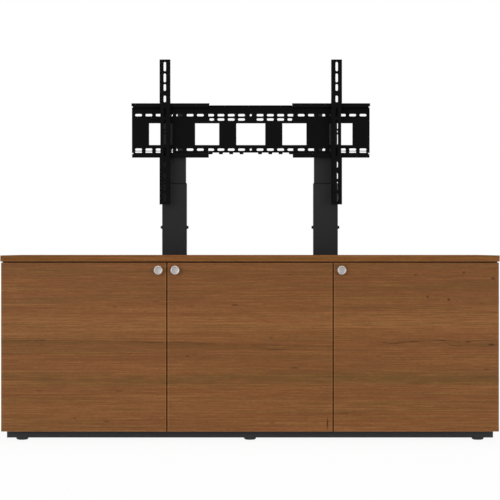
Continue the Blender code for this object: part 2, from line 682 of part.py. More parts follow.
# Lift columns
carriage = []
cavity_width = OUTER_WIDTH - 2 * OUTER_WALL
cavity_depth = OUTER_DEPTH - 2 * OUTER_WALL
outer_top = COLUMN_MOUTH - COLLAR_FLANGE - FIT
for side, word in ((-1, "left"), (1, "right")):
    x = side * COLUMN_X
    outer = add("column_outer_" + word,
                upright(x, OUTER_WIDTH, OUTER_DEPTH, (ROOM_BOTTOM, outer_top), OUTER_CORNER), COLUMN_PAINT)
    cut(outer, upright(x, BASE_FLANGE_WIDTH, BASE_FLANGE_DEPTH,
                       (ROOM_BOTTOM, ROOM_BOTTOM + BASE_FLANGE_THICKNESS), OUTER_CORNER), "UNION")
    cut(outer, upright(x, cavity_width, cavity_depth,
                       (ROOM_BOTTOM + BASE_FLANGE_THICKNESS, COLUMN_MOUTH), OUTER_CORNER - OUTER_WALL))

    collar = add("guide_collar_" + word,
                 upright(x, OUTER_WIDTH, OUTER_DEPTH, (outer_top + FIT, COLUMN_MOUTH), OUTER_CORNER),
                 BLACK_PLASTIC)
    skirt_corner = OUTER_CORNER - OUTER_WALL - FIT
    cut(collar, upright(x, cavity_width - 2 * FIT, cavity_depth - 2 * FIT,
                        (outer_top - COLLAR_SKIRT, COLUMN_MOUTH - COLLAR_FLANGE / 2), skirt_corner), "UNION")
    inner_corner = OUTER_CORNER - OUTER_WALL - TUBE_GAP
    cut(collar, upright(x, INNER_WIDTH + 2 * FIT, INNER_DEPTH + 2 * FIT,
                        (outer_top - 2 * COLLAR_SKIRT, COLUMN_MOUTH + COLLAR_SKIRT), inner_corner))

    add("lift_motor_" + word,
        upright(x, cavity_width - 2 * MOTOR_CLEAR, cavity_depth - 2 * MOTOR_CLEAR,
                (MOTOR_BOTTOM, MOTOR_BOTTOM + MOTOR_HEIGHT), OUTER_CORNER - OUTER_WALL - MOTOR_CLEAR),
        BLACK_PLASTIC)
    spindle = add("lift_spindle_" + word, rod(SPINDLE_RADIUS, SPINDLE_LENGTH), SPINDLE_STEEL)
    spindle.location = (x, y_at(COLUMN_F), SPINDLE_BOTTOM)

    inner = add("column_inner_" + word,
                upright(x, INNER_WIDTH, INNER_DEPTH, (INNER_BOTTOM, INNER_TOP), inner_corner), COLUMN_PAINT)
    hollow_width = INNER_WIDTH - 2 * INNER_WALL
    hollow_depth = INNER_DEPTH - 2 * INNER_WALL
    cut(inner, upright(x, hollow_width, hollow_depth,
                       (INNER_BOTTOM - BOARD, INNER_TOP - INNER_CAP), inner_corner - INNER_WALL))
    cut(inner, head_holes(x))

    nut = add("spindle_nut_" + word,
              upright(x, cavity_width - 2 * GLIDE_CLEAR, cavity_depth - 2 * GLIDE_CLEAR,
                      (INNER_BOTTOM - FIT - GLIDE_HEIGHT, INNER_BOTTOM - FIT),
                      OUTER_CORNER - OUTER_WALL - GLIDE_CLEAR), BLACK_PLASTIC)
    cut(nut, upright(x, hollow_width - 2 * FIT, hollow_depth - 2 * FIT,
                     (INNER_BOTTOM - GLIDE_HEIGHT / 2, INNER_BOTTOM + NUT_BOSS_HEIGHT),
                     inner_corner - INNER_WALL), "UNION")
    cut(nut, placed(rod(SPINDLE_RADIUS + SPINDLE_CLEAR, 3 * GLIDE_HEIGHT),
                    (x, y_at(COLUMN_F), INNER_BOTTOM - 2 * GLIDE_HEIGHT)))

    saddle_half = INNER_WIDTH / 2 + FIT + SADDLE_CHEEK
    saddle = add("head_saddle_" + word,
                 block((x - saddle_half, x + saddle_half), (SADDLE_FRONT, SADDLE_FRONT + SADDLE_DEPTH),
                       (SADDLE_BOTTOM, SADDLE_TOP)), COLUMN_PAINT)
    cut(saddle, upright(x, INNER_WIDTH + 2 * FIT, INNER_DEPTH + 2 * FIT,
                        (SADDLE_BOTTOM - BOARD, SADDLE_TOP + BOARD), inner_corner))
    cut(saddle, head_holes(x))
    carriage += [inner, nut, saddle]

# Centre rail: a flat web with its upper edge folded forward and tabs along its lower edge
rail = add("centre_rail",
           folded_sheet(((RAIL_WEB - RAIL_FOLD, RAIL_TOP - SHEET / 2), (RAIL_WEB, RAIL_TOP - SHEET / 2),
                         (RAIL_WEB, RAIL_BOTTOM)), -RAIL_HALF_LENGTH, RAIL_HALF_LENGTH, "X"), BRACKET_PAINT)
rail.location.x = BRACKET_SHIFT
thicken(rail)
fold_ends = [block(sorted((side * RAIL_FOLD_HALF_LENGTH, side * (RAIL_HALF_LENGTH + BOARD))),
                   (RAIL_WEB - 2 * RAIL_FOLD, RAIL_WEB - SHEET / 2),
                   (RAIL_TOP - 2 * SHEET, RAIL_TOP + SHEET)) for side in (-1, 1)]
cut(rail, merged(*fold_ends))


def slot_x(number):
    """Distance of a numbered slot from the middle of the bracket."""
    return SLOT_FIRST + SLOT_PITCH * number


def trapezoid_tab(x):
    """A tab under the rail's lower edge, narrower at its tip."""
    shape = block((x - TAB_WIDTH / 2, x + TAB_WIDTH / 2), (RAIL_WEB - SHEET / 2, RAIL_WEB + SHEET / 2),
                  (RAIL_BOTTOM - TAB_HEIGHT, RAIL_BOTTOM + SHEET))
    tip = [vert for vert in shape.verts if vert.co.z < RAIL_BOTTOM]
    for vert in tip:
        vert.co.x = x + (vert.co.x - x) * TAB_TIP_WIDTH / TAB_WIDTH
    return shape


tabs = [trapezoid_tab(side * slot_x(number)) for number in range(RAIL_SECOND_ROW_SLOTS) for side in (-1, 1)]
cut(rail, merged(*tabs), "UNION")

rail_cuts = [slot(0, z, 2 * CENTRE_HOLE_RADIUS, 2 * CENTRE_HOLE_RADIUS, RAIL_WEB)
             for z in (SLOT_ROW_TOP, SLOT_ROW_BOTTOM)]
for side in (-1, 1):
    for number in range(RAIL_SLOTS):
        rows = [SLOT_ROW_TOP, SLOT_ROW_BOTTOM]
        if number < RAIL_SECOND_ROW_SLOTS:
            rows.append(SLOT_ROW_SECOND)
        rail_cuts += [slot(side * slot_x(number), z, SLOT_LENGTH, SLOT_HEIGHT, RAIL_WEB) for z in rows]
    rail_cuts.append(block(sorted((side * WINDOW_INNER[0], side * WINDOW_INNER[1])),
                           (RAIL_WEB - SHEET, RAIL_WEB + SHEET), (WINDOW_BOTTOM, WINDOW_TOP)))
rail_cuts.append(block((-WINDOW_CENTRE_HALF, WINDOW_CENTRE_HALF), (RAIL_WEB - SHEET, RAIL_WEB + SHEET),
                       (WINDOW_BOTTOM, WINDOW_TOP)))
cut(rail, merged(*rail_cuts))
carriage.append(rail)

# End plates: troughs with an upturned and a downturned lip
lip_line = LIP_FRONT + SHEET / 2
for side, word in ((-1, "left"), (1, "right")):
    plate = add("end_plate_" + word,
                folded_sheet(((lip_line, PLATE_LIP_TOP), (lip_line, PLATE_FOLD_TOP),
                              (PLATE_WEB, PLATE_FOLD_TOP), (PLATE_WEB, PLATE_FOLD_BOTTOM),
                              (lip_line, PLATE_FOLD_BOTTOM), (lip_line, PLATE_LIP_BOTTOM)),
                             side * PLATE_INNER_END, side * PLATE_OUTER_END, "X"), BRACKET_PAINT)
    plate.location.x = BRACKET_SHIFT
    thicken(plate)
    plate_cuts = []
    for number in range(PLATE_FIRST_SLOT, PLATE_LAST_SLOT + 1):
        x = side * slot_x(number)
        plate_cuts.append(slot(x, SLOT_ROW_TOP, SLOT_LENGTH, SLOT_HEIGHT, PLATE_WEB))
        plate_cuts.append(slot(x, SLOT_ROW_BOTTOM, SLOT_LENGTH, SLOT_HEIGHT, PLATE_WEB))
        if number >= PLATE_FIRST_LOW_SLOT:
            plate_cuts.append(slot(x, SLOT_ROW_LOWEST, SLOT_LENGTH, SLOT_LOWEST_HEIGHT, PLATE_WEB))
    window_f = (PLATE_WEB - SHEET, PLATE_WEB + SHEET)
    plate_cuts.append(block(sorted((side * WINDOW_OUTER[0], side * WINDOW_OUTER[1])), window_f,
                            (WINDOW_BOTTOM, WINDOW_TOP)))
    cut(plate, merged(*plate_cuts))
    cut(plate, block(sorted((side * (PLATE_INNER_END - BOARD), side * WINDOW_INNER[1])), window_f,
                     (WINDOW_BOTTOM, WINDOW_TOP)))
    web_bottom, web_top = PLATE_FOLD_BOTTOM + SHEET, PLATE_FOLD_TOP - SHEET
    cut(plate, block(sorted((side * (PLATE_INNER_END - BOARD), side * (PLATE_INNER_END + PLATE_WEB_SETBACK))),
                     window_f, (web_bottom, web_top)))
    trims = []
    for end, inward in ((PLATE_INNER_END, 1), (PLATE_OUTER_END, -1)):
        outside = side * (end - inward * BOARD)
        trims.append(block(sorted((outside, side * (end + inward * LIP_END_SETBACK))),
                           (LIP_FRONT - SHEET, LIP_BACK + SHEET / 2),
                           (PLATE_LIP_BOTTOM - SHEET, PLATE_FOLD_BOTTOM - SHEET)))
        for fold in (PLATE_FOLD_TOP, PLATE_FOLD_BOTTOM):
            trims.append(block(sorted((outside, side * (end + inward * RELIEF_DEPTH))),
                               (LIP_FRONT - SHEET, PLATE_WEB - 2 * SHEET),
                               (fold - RELIEF_HEIGHT / 2, fold + RELIEF_HEIGHT / 2)))
    for trim in trims:
        cut(plate, trim)
    carriage.append(plate)

joint_frame("lift_axis", (0, y_at(COLUMN_F), COLUMN_MOUTH), carriage)

# Screen arms: channels with a hook over the upper lip and a toe under the lower one
arm_low = ARM_CENTRE - ARM_HALF_LENGTH
arm_high = ARM_CENTRE + ARM_HALF_LENGTH
arm_line = ARM_FRONT + SHEET / 2
hook_bottom = PLATE_LIP_TOP + FIT
tooth_front = LIP_BACK + FIT
tooth_back = tooth_front + HOOK_TOOTH
hook_points = ((ARM_BACK - 2 * SHEET, hook_bottom + HOOK_RISE), (tooth_back, hook_bottom + HOOK_RISE),
               (tooth_back, hook_bottom - HOOK_DROP), (tooth_front, hook_bottom - HOOK_DROP),
               (tooth_front, hook_bottom), (ARM_BACK - 2 * SHEET, hook_bottom))
for side, word in ((-1, "left"), (1, "right")):
    x = side * ARM_X
    near = ARM_WIDTH / 2 - SHEET / 2
    arm = add("screen_arm_" + word,
              folded_sheet(((x - near, ARM_BACK), (x - near, arm_line), (x + near, arm_line),
                            (x + near, ARM_BACK)), arm_low, arm_high, "Z"), BRACKET_PAINT)
    arm.location.x = BRACKET_SHIFT
    thicken(arm)
    edge = x + side * ARM_WIDTH / 2
    cut(arm, block(sorted((edge - side * ARM_RELIEF, edge + side * BOARD)),
                   (ARM_FRONT - BOARD, ARM_BACK + SHEET), (PLATE_LIP_BOTTOM, PLATE_LIP_TOP)))
    for flange_x in (x - near, x + near):
        hook = placed(outline(hook_points, SHEET, "side"), (flange_x, 0, 0))
        cut(arm, hook, "UNION")
    toe_x = x - side * near
    cut(arm, block((toe_x - SHEET / 2, toe_x + SHEET / 2), (ARM_BACK - 2 * SHEET, LIP_BACK + TOE_REACH),
                   (PLATE_LIP_BOTTOM - FIT - TOE_HEIGHT, PLATE_LIP_BOTTOM - FIT)), "UNION")
    arm_cuts = [slot(x, ARM_CENTRE, 2 * CENTRE_HOLE_RADIUS, 2 * CENTRE_HOLE_RADIUS, arm_line)]
    for number, length in enumerate(ARM_SLOT_LENGTHS, start=1):
        reach = ARM_SLOT_PITCH * number + ARM_SLOT_END - length / 2
        arm_cuts += [slot(x, ARM_CENTRE + up * reach, length, ARM_SLOT_WIDTH, arm_line, True)
                     for up in (-1, 1)]
    cut(arm, merged(*arm_cuts))
    joint_frame("arm_" + word + "_axis", (x + BRACKET_SHIFT, y_at(ARM_FRONT), ARM_CENTRE), [arm])

# Control box on the rear of the inner back
box_shape = block((-BOX_WIDTH / 2, BOX_WIDTH / 2), (BACK_REAR + FIT, BACK_REAR + FIT + BOX_DEPTH),
                  (BOX_LEVEL, BOX_LEVEL + BOX_HEIGHT))
round_uprights(box_shape, BOX_CORNER)
control_box = add("control_box", box_shape, BLACK_PLASTIC)
inlet_f = BACK_REAR + FIT + BOX_DEPTH / 2
cut(control_box, block((-INLET_WIDTH / 2, INLET_WIDTH / 2),
                       (inlet_f - INLET_HEIGHT / 2, inlet_f + INLET_HEIGHT / 2),
                       (BOX_LEVEL - INLET_DEPTH, BOX_LEVEL + INLET_DEPTH)))
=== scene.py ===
import math

import bmesh
import bpy
from mathutils import Matrix, Vector


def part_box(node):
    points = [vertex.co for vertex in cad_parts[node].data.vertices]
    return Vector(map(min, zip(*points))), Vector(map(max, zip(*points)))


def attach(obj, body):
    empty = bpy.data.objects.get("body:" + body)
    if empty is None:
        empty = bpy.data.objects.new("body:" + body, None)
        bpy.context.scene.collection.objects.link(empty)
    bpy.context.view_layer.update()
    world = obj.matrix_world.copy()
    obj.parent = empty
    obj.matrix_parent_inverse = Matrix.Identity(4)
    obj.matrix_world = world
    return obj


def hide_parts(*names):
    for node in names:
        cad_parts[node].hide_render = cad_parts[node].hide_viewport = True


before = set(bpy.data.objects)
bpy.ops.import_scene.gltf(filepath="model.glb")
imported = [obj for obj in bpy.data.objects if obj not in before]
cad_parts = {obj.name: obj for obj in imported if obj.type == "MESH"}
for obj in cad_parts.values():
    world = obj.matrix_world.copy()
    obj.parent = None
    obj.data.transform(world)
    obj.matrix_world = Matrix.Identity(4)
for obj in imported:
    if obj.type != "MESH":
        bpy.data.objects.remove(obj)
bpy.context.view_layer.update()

# Studio: a pale sweep of floor, soft lamps and a long lens level with the top.
# The front edge of the top is the plane that the distances are measured from.
FRONT_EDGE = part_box("top_panel")[0].y
CAMERA_DISTANCE = 6.32
CAMERA_HEIGHT = 0.786
PHOTO_PIXELS = 500
FOCAL_PIXELS = 1554
HORIZON_PIXEL = 249.5
SENSOR_MM = 36
CLIP_END = 60
QUARTER_TURN = math.pi / 2

lens = bpy.data.cameras.new("studio_camera")
lens.sensor_width = SENSOR_MM
lens.lens = SENSOR_MM * FOCAL_PIXELS / PHOTO_PIXELS
lens.shift_y = (HORIZON_PIXEL - PHOTO_PIXELS / 2) / PHOTO_PIXELS
lens.clip_end = CLIP_END
camera = bpy.data.objects.new("studio_camera", lens)
camera.location = (0, FRONT_EDGE - CAMERA_DISTANCE, CAMERA_HEIGHT)
camera.rotation_euler = (QUARTER_TURN, 0, 0)
bpy.context.scene.collection.objects.link(camera)
bpy.context.scene.camera = camera
bpy.context.scene.view_settings.view_transform = "Standard"


class Shade:
    """A socket in a node tree. Sums on it add Math nodes, and node() adds any other node."""

    def __init__(self, tree, socket=None):
        self.tree = tree
        self.socket = socket

    def node(self, kind, settings=None, sockets=None, output=0):
        made = self.tree.nodes.new(kind)
        for name, value in (settings or {}).items():
            if name == "stops":
                ramp = made.color_ramp
                while len(ramp.elements) < len(value):
                    ramp.elements.new(1.0)
                for element, (place, colour) in zip(ramp.elements, value):
                    element.position = place
                    element.color = colour
            elif name == "ease":
                made.color_ramp.interpolation = value
            else:
                setattr(made, name, value)
        for name, value in (sockets or {}).items():
            if isinstance(value, Shade):
                self.tree.links.new(value.socket, made.inputs[name])
            else:
                made.inputs[name].default_value = value
        return Shade(self.tree, made.outputs[output])

    def maths(self, operation, first, second=0.0, clamp=False):
        settings = {"operation": operation, "use_clamp": clamp}
        return self.node("ShaderNodeMath", settings, {0: first, 1: second})

    def __add__(self, other):
        return self.maths("ADD", self, other)

    def __radd__(self, other):
        return self.maths("ADD", other, self)

    def __sub__(self, other):
        return self.maths("SUBTRACT", self, other)

    def __rsub__(self, other):
        return self.maths("SUBTRACT", other, self)

    def __mul__(self, other):
        return self.maths("MULTIPLY", self, other)

    def __rmul__(self, other):
        return self.maths("MULTIPLY", other, self)

    def __abs__(self):
        return self.maths("ABSOLUTE", self)

    def clamped(self):
        return self.maths("ADD", self, 0.0, clamp=True)


def seen_directly(tree):
    """1 for what the camera, a reflection or glass looks at, and 0 for light on its way to a surface."""
    rays = Shade(tree).node("ShaderNodeLightPath").socket.node.outputs
    camera_ray, glossy_ray, glass_ray = (
        Shade(tree, rays[name]) for name in ("Is Camera Ray", "Is Glossy Ray", "Is Transmission Ray"))
    return (camera_ray + glossy_ray + glass_ray).clamped()


def new_finish(name, fixed):
    """A new material with its shader's fixed values set, and a Shade to build its nodes from."""
    material = bpy.data.materials.new(name)
    material.use_nodes = True
    for socket, value in fixed.items():
        material.node_tree.nodes["Principled BSDF"].inputs[socket].default_value = value
    return material, Shade(material.node_tree)


WHITE = (1, 1, 1, 1)
SKY_LIGHT = 0.43
world = bpy.data.worlds.new("studio")
world.use_nodes = True
bpy.context.scene.world = world
sky = world.node_tree.nodes["Background"]
sky.inputs["Color"].default_value = WHITE
sky_strength = SKY_LIGHT + seen_directly(world.node_tree) * (1 - SKY_LIGHT)
world.node_tree.links.new(sky_strength.socket, sky.inputs["Strength"])

FLOOR_SIZE = 40.0
FLOOR_WHITE = 0.88
FLOOR_ROUGHNESS = 0.9
FLOOR_GLOW = 0.94
floor_paint, floor_start = new_finish("studio_floor", {
    "Base Color": (FLOOR_WHITE, FLOOR_WHITE, FLOOR_WHITE, 1), "Roughness": FLOOR_ROUGHNESS,
    "Specular IOR Level": 0.0})
floor_tree = floor_paint.node_tree
painted = Shade(floor_tree, floor_tree.nodes["Principled BSDF"].outputs[0])
glow = floor_start.node("ShaderNodeEmission", None, {"Color": WHITE, "Strength": 1.0})
floor_mix = floor_start.node("ShaderNodeMixShader", None,
                             {0: seen_directly(floor_tree) * FLOOR_GLOW, 1: painted, 2: glow})
floor_tree.links.new(floor_mix.socket, floor_tree.nodes["Material Output"].inputs["Surface"])
floor_shape = bmesh.new()
bmesh.ops.create_grid(floor_shape, x_segments=1, y_segments=1, size=FLOOR_SIZE / 2)
floor_data = bpy.data.meshes.new("studio_floor")
floor_shape.to_mesh(floor_data)
floor_shape.free()
floor_data.materials.append(floor_paint)
floor = bpy.data.objects.new("studio_floor", floor_data)
bpy.context.scene.collection.objects.link(floor)

# Lamp name, place, width and power; every lamp looks at the middle of the object
LAMPS = (("key_lamp", (-2.4, -4.8, 1.2), 2.8, 76),
         ("fill_lamp", (2.8, -4.6, 0.5), 2.6, 64),
         ("top_lamp", (0.0, 0.1, 4.4), 2.4, 90),
         ("rear_lamp", (1.5, 4.0, 3.4), 2.4, 80))
LAMP_TARGET = Vector((0, 0, 0.75))
for lamp_name, place, width, power in LAMPS:
    lamp = bpy.data.lights.new(lamp_name, "AREA")
    lamp.size = width
    lamp.energy = power
    stand = bpy.data.objects.new(lamp_name, lamp)
    stand.location = place
    stand.rotation_euler = (LAMP_TARGET - Vector(place)).to_track_quat("-Z", "Y").to_euler()
    bpy.context.scene.collection.objects.link(stand)

# Feet: six moulded black plastic glides that screw up into the plinth.
# Each is a shallow turned bowl with a rounded rim on a short threaded stem.
SMOOTH_ANGLE = math.radians(40)
WELD = 1e-6
ROUND_STEPS = 48
# Rim and bowl of a glide, as shares of its radius and of its height under the plinth
GLIDE_BOWL = ((0.955, 1.0), (0.985, 0.95), (1.0, 0.84), (1.0, 0.62), (0.985, 0.42), (0.94, 0.22),
              (0.86, 0.08), (0.76, 0.015), (0.7, 0.0))
GLIDE_STEM_SHARE = 0.2
STEM_CHAMFER_SHARE = 0.2
GLIDE_CLEAR = 0.0003
FULL_CHANNEL = 255
SCREEN_OFFSET = 0.055
SCREEN_POWER = 2.4
# The pebbled skin of a coat or moulding and the patches in it
SKIN_DETAIL = 3.0
SKIN_SPREAD = 0.14
SKIN_GLOSS = 0.1
SKIN_STRENGTH = 0.3
SKIN_DEPTH = 0.00018
PATCH_SCALE = 22.0
PATCH_GLOSS = 0.16


def piece(name, shape, material, body, nodes=()):
    """A finished piece of the object: its mesh in place, its finish, its body and what it stands for."""
    mesh = bpy.data.meshes.new(name)
    shape.to_mesh(mesh)
    shape.free()
    mesh.shade_smooth()
    mesh.set_sharp_from_angle(angle=SMOOTH_ANGLE)
    mesh.materials.append(material)
    made = bpy.data.objects.new(name, mesh)
    bpy.context.scene.collection.objects.link(made)
    if nodes:
        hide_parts(*nodes)
    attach(made, body)


def to_size(curve, radius, height):
    """A curve given as shares of a radius and of a height, at its real size."""
    return [(share * radius, rise * height) for share, rise in curve]


def spun(profile, steps=ROUND_STEPS):
    """A turned shape about Z from (radius, height) points that start and end on the axis."""
    shape = bmesh.new()
    points = [shape.verts.new((radius, 0, height)) for radius, height in profile]
    edges = [shape.edges.new(pair) for pair in zip(points, points[1:])]
    bmesh.ops.spin(shape, geom=points + edges, axis=(0, 0, 1), cent=(0, 0, 0), angle=2 * math.pi,
                   steps=steps, use_merge=True)
    bmesh.ops.remove_doubles(shape, verts=shape.verts, dist=WELD)
    bmesh.ops.recalc_face_normals(shape, faces=shape.faces)
    return shape


def moved(shape, place, turn=None):
    """Turn a shape about the origin, then move it to its place."""
    if turn is not None:
        bmesh.ops.rotate(shape, cent=(0, 0, 0), matrix=turn, verts=shape.verts)
    bmesh.ops.translate(shape, vec=place, verts=shape.verts)
    return shape


def screen_colour(red, green, blue):
    """Linear colour of an 8-bit screen colour."""
    shares = (channel / FULL_CHANNEL for channel in (red, green, blue))
    return tuple(((share + SCREEN_OFFSET) / (1 + SCREEN_OFFSET)) ** SCREEN_POWER for share in shares) + (1.0,)


def toned(colour, share):
    """A colour with this share of its light."""
    return tuple(channel * share for channel in colour[:3]) + (1.0,)


def noise(place, scale, detail, output=0):
    """Soft noise over a place, from 0 to 1."""
    return place.node("ShaderNodeTexNoise", None, {"Vector": place, "Scale": scale, "Detail": detail}, output)


def swing(value, width):
    """A noise value as a swing of this width about nought."""
    return (value - 0.5) * width


def blend(share, first, second):
    """The first colour where the share is 0, and the second where it is 1."""
    return share.node("ShaderNodeMix", {"data_type": "RGBA"}, {0: share, 6: first, 7: second}, output=2)


def surfaced(material, colour, roughness, height, strength, depth):
    """A finish with its colour, its roughness and its fine relief led into the shader."""
    relief = height.node("ShaderNodeBump", None, {"Strength": strength, "Distance": depth, "Height": height})
    shader = material.node_tree.nodes["Principled BSDF"]
    for name, value in (("Base Color", colour), ("Roughness", roughness), ("Normal", relief)):
        material.node_tree.links.new(value.socket, shader.inputs[name])
    return material


def mottled(name, colour, roughness, specular, grain, spread=SKIN_SPREAD):
    """A dull coat or moulding: a fine pebbled skin, patchy in tone and in gloss."""
    material, start = new_finish(name, {"Specular IOR Level": specular})
    place = start.node("ShaderNodeTexCoord", output="Object")
    skin = noise(place, grain, SKIN_DETAIL)
    patch = noise(place, PATCH_SCALE, SKIN_DETAIL)
    tint = blend((skin + patch) * 0.5, toned(colour, 1 - spread), toned(colour, 1 + spread))
    gloss = roughness + swing(patch, PATCH_GLOSS) + swing(skin, SKIN_GLOSS)
    return surfaced(material, tint, gloss, skin, SKIN_STRENGTH, SKIN_DEPTH)


glide_plastic = mottled("glide_plastic", screen_colour(82, 82, 83), roughness=0.5, specular=0.12, grain=900.0)
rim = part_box("plinth_frame")[0].z - GLIDE_CLEAR
for side in ("left", "centre", "right"):
    for row in ("front", "rear"):
        node = "foot_" + side + "_" + row
        low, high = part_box(node)
        radius = (high.x - low.x) / 2
        stem = GLIDE_STEM_SHARE * radius
        chamfer = STEM_CHAMFER_SHARE * stem
        profile = [(0, high.z), (stem - chamfer, high.z), (stem, high.z - chamfer), (stem, rim)]
        profile += to_size(GLIDE_BOWL, radius, rim) + [(0, 0)]
        glide = moved(spun(profile), ((low.x + high.x) / 2, (low.y + high.y) / 2, 0))
        piece(node + "_glide", glide, glide_plastic, "cabinet", [node])

# Plinth: a recessed frame of board faced in matt black laminate, screwed up into the bottom panel.
# The sub top and spacer in the shadow gap get a browner near-black laminate: painted shade of the gap.
LAMINATE_SPECULAR = 0.1
LAMINATE_ROUGHNESS = 0.55
LEATHER_SCALE = 700.0
LEATHER_DETAIL = 2.0
LEATHER_STRENGTH = 0.2
LEATHER_DEPTH = 0.00015
SCUFF_STRETCH = (0.15, 1.0, 1.0)
SCUFF_SCALE = 60.0
SCUFF_DETAIL = 4.0
SCUFF_SPREAD = 0.14
SCUFF_GLOSS = 0.2


def stretched(place, scale):
    """A place with its axes scaled, so that a pattern on it is drawn out."""
    return place.node("ShaderNodeMapping", None, {"Vector": place, "Scale": scale})


def black_laminate(name, colour):
    """Matt black laminate: a faint leathery print and soft scuffs that follow the board."""
    material, start = new_finish(name, {"Specular IOR Level": LAMINATE_SPECULAR})
    place = start.node("ShaderNodeTexCoord", output="Object")
    leather = noise(place, LEATHER_SCALE, LEATHER_DETAIL)
    scuff = noise(stretched(place, SCUFF_STRETCH), SCUFF_SCALE, SCUFF_DETAIL)
    tint = blend(scuff, toned(colour, 1 - SCUFF_SPREAD), toned(colour, 1 + SCUFF_SPREAD))
    gloss = LAMINATE_ROUGHNESS + swing(scuff, SCUFF_GLOSS)
    return surfaced(material, tint, gloss, leather, LEATHER_STRENGTH, LEATHER_DEPTH)


def dress(material, *nodes):
    """Give CAD nodes that keep their own shape a finish."""
    for node in nodes:
        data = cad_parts[node].data
        data.materials.clear()
        data.materials.append(material)


dress(black_laminate("plinth_laminate", screen_colour(63, 64, 65)), "plinth_frame")
# Painted shade: the sub top and spacer take the brown-black of the shadow in the gap
dress(black_laminate("gap_shade_laminate", screen_colour(40, 35, 32)), "sub_top", "top_spacer")

# Carcass: laminated boards with a fine walnut print that runs along the cabinet and round its ends.
# Sides, bottom, partitions and backs are dowelled and glued to one another.
# Front edges of the bottom and partitions are near-black: painted shade for the gaps between the doors.
DARK_WALNUT = screen_colour(74, 44, 22)
RED_WALNUT = screen_colour(127, 80, 46)
OLIVE_WALNUT = screen_colour(114, 82, 43)
PALE_WALNUT = screen_colour(172, 120, 72)
# Painted shade for the door gaps, on the forward-facing edges of the boards behind
GAP_SHADE = screen_colour(22, 18, 16)
# Height and tone of the broad bands of the print, from the floor up; 0.5 is the plain tone
PRINT_BANDS = ((0.045, 0.56), (0.14, 0.56), (0.20, 0.54), (0.24, 0.52), (0.260, 0.50), (0.285, 0.52),
               (0.328, 0.525), (0.365, 0.49), (0.408, 0.465), (0.420, 0.52), (0.485, 0.59), (0.524, 0.57),
               (0.55, 0.525), (0.62, 0.475), (0.69, 0.48), (0.735, 0.465), (0.742, 0.51))
PRINT_TOP = 0.75
# The fine layers of the print: scale, detail and stretch along the board, and how deep they are in tone
LONG_LINES = (230.0, 2.0, 0.006)
STROKES = (250.0, 2.0, 0.045)
DASHES = (300.0, 1.0, 0.2)
ZONES = (14.0, 2.0, 0.035)
TINTS = (60.0, 3.0, 0.025)
PATCHES = (38.0, 2.0, 0.3)
PORES = (700.0, 1.0, 0.03)
LONG_LINE_TONE = 0.46
STROKE_TONE = 0.40
DASH_TONE = 0.24
ZONE_TONE = 0.17
PORE_TONE = 0.04
PORE_LEVEL = 0.67
# The print wanders up and down a little along the board
WANDER = 0.003
WANDER_STRETCH = (1.4, 5.0, 5.0)
WANDER_DETAIL = 2.0
# On the end faces the print goes on from this far along
END_PRINT = 1.31
# A face looks along an axis when its normal leans further that way than this
FACING = 0.5
# The print goes from red to olive between these two levels of its tints, and how olive it gets at most
RED_TINT = 0.34
OLIVE_TINT = 0.66
MOST_OLIVE = 0.55
# A seam's route keeps within this span; it fades out at its ends, and patches break it up
SEAM_SPAN = 0.1
SEAM_FADE = 25.0
SEAM_PATCHES = 2.4
SEAM_COVER = 0.72
# A fleck has a soft edge, torn by noise
FLECK_GROWTH = 1.25
FLECK_EDGE = 2.0
FLECK_TEAR = (0.010, 0.0, 0.003)
FLECK_TEAR_SCALE = 90.0
FLECK_TEAR_DETAIL = 2.0
# Pale lipping along the left, right and bottom edges of a door, painted lighter as an edge highlight;
# the top edge, in shade under the top, has none
LIPPING_HIGHLIGHT_WIDTH = 0.0046
LIPPING_HIGHLIGHT_TONE = 0.10
WALNUT_SPECULAR = 0.08
WALNUT_ROUGHNESS = 0.46
STROKE_GLOSS = 0.16
PORE_GLOSS = 0.12
PORE_RELIEF = 0.5
PRINT_STRENGTH = 0.12
PRINT_DEPTH = 0.0002


def axes_of(vector):
    """The three axes of a vector, each on its own."""
    axes = vector.node("ShaderNodeSeparateXYZ", None, {0: vector}).socket.node.outputs
    return [Shade(vector.tree, axis) for axis in axes]


def length_of(vector):
    """How long a vector is."""
    return vector.node("ShaderNodeVectorMath", {"operation": "LENGTH"}, {0: vector}, output="Value")


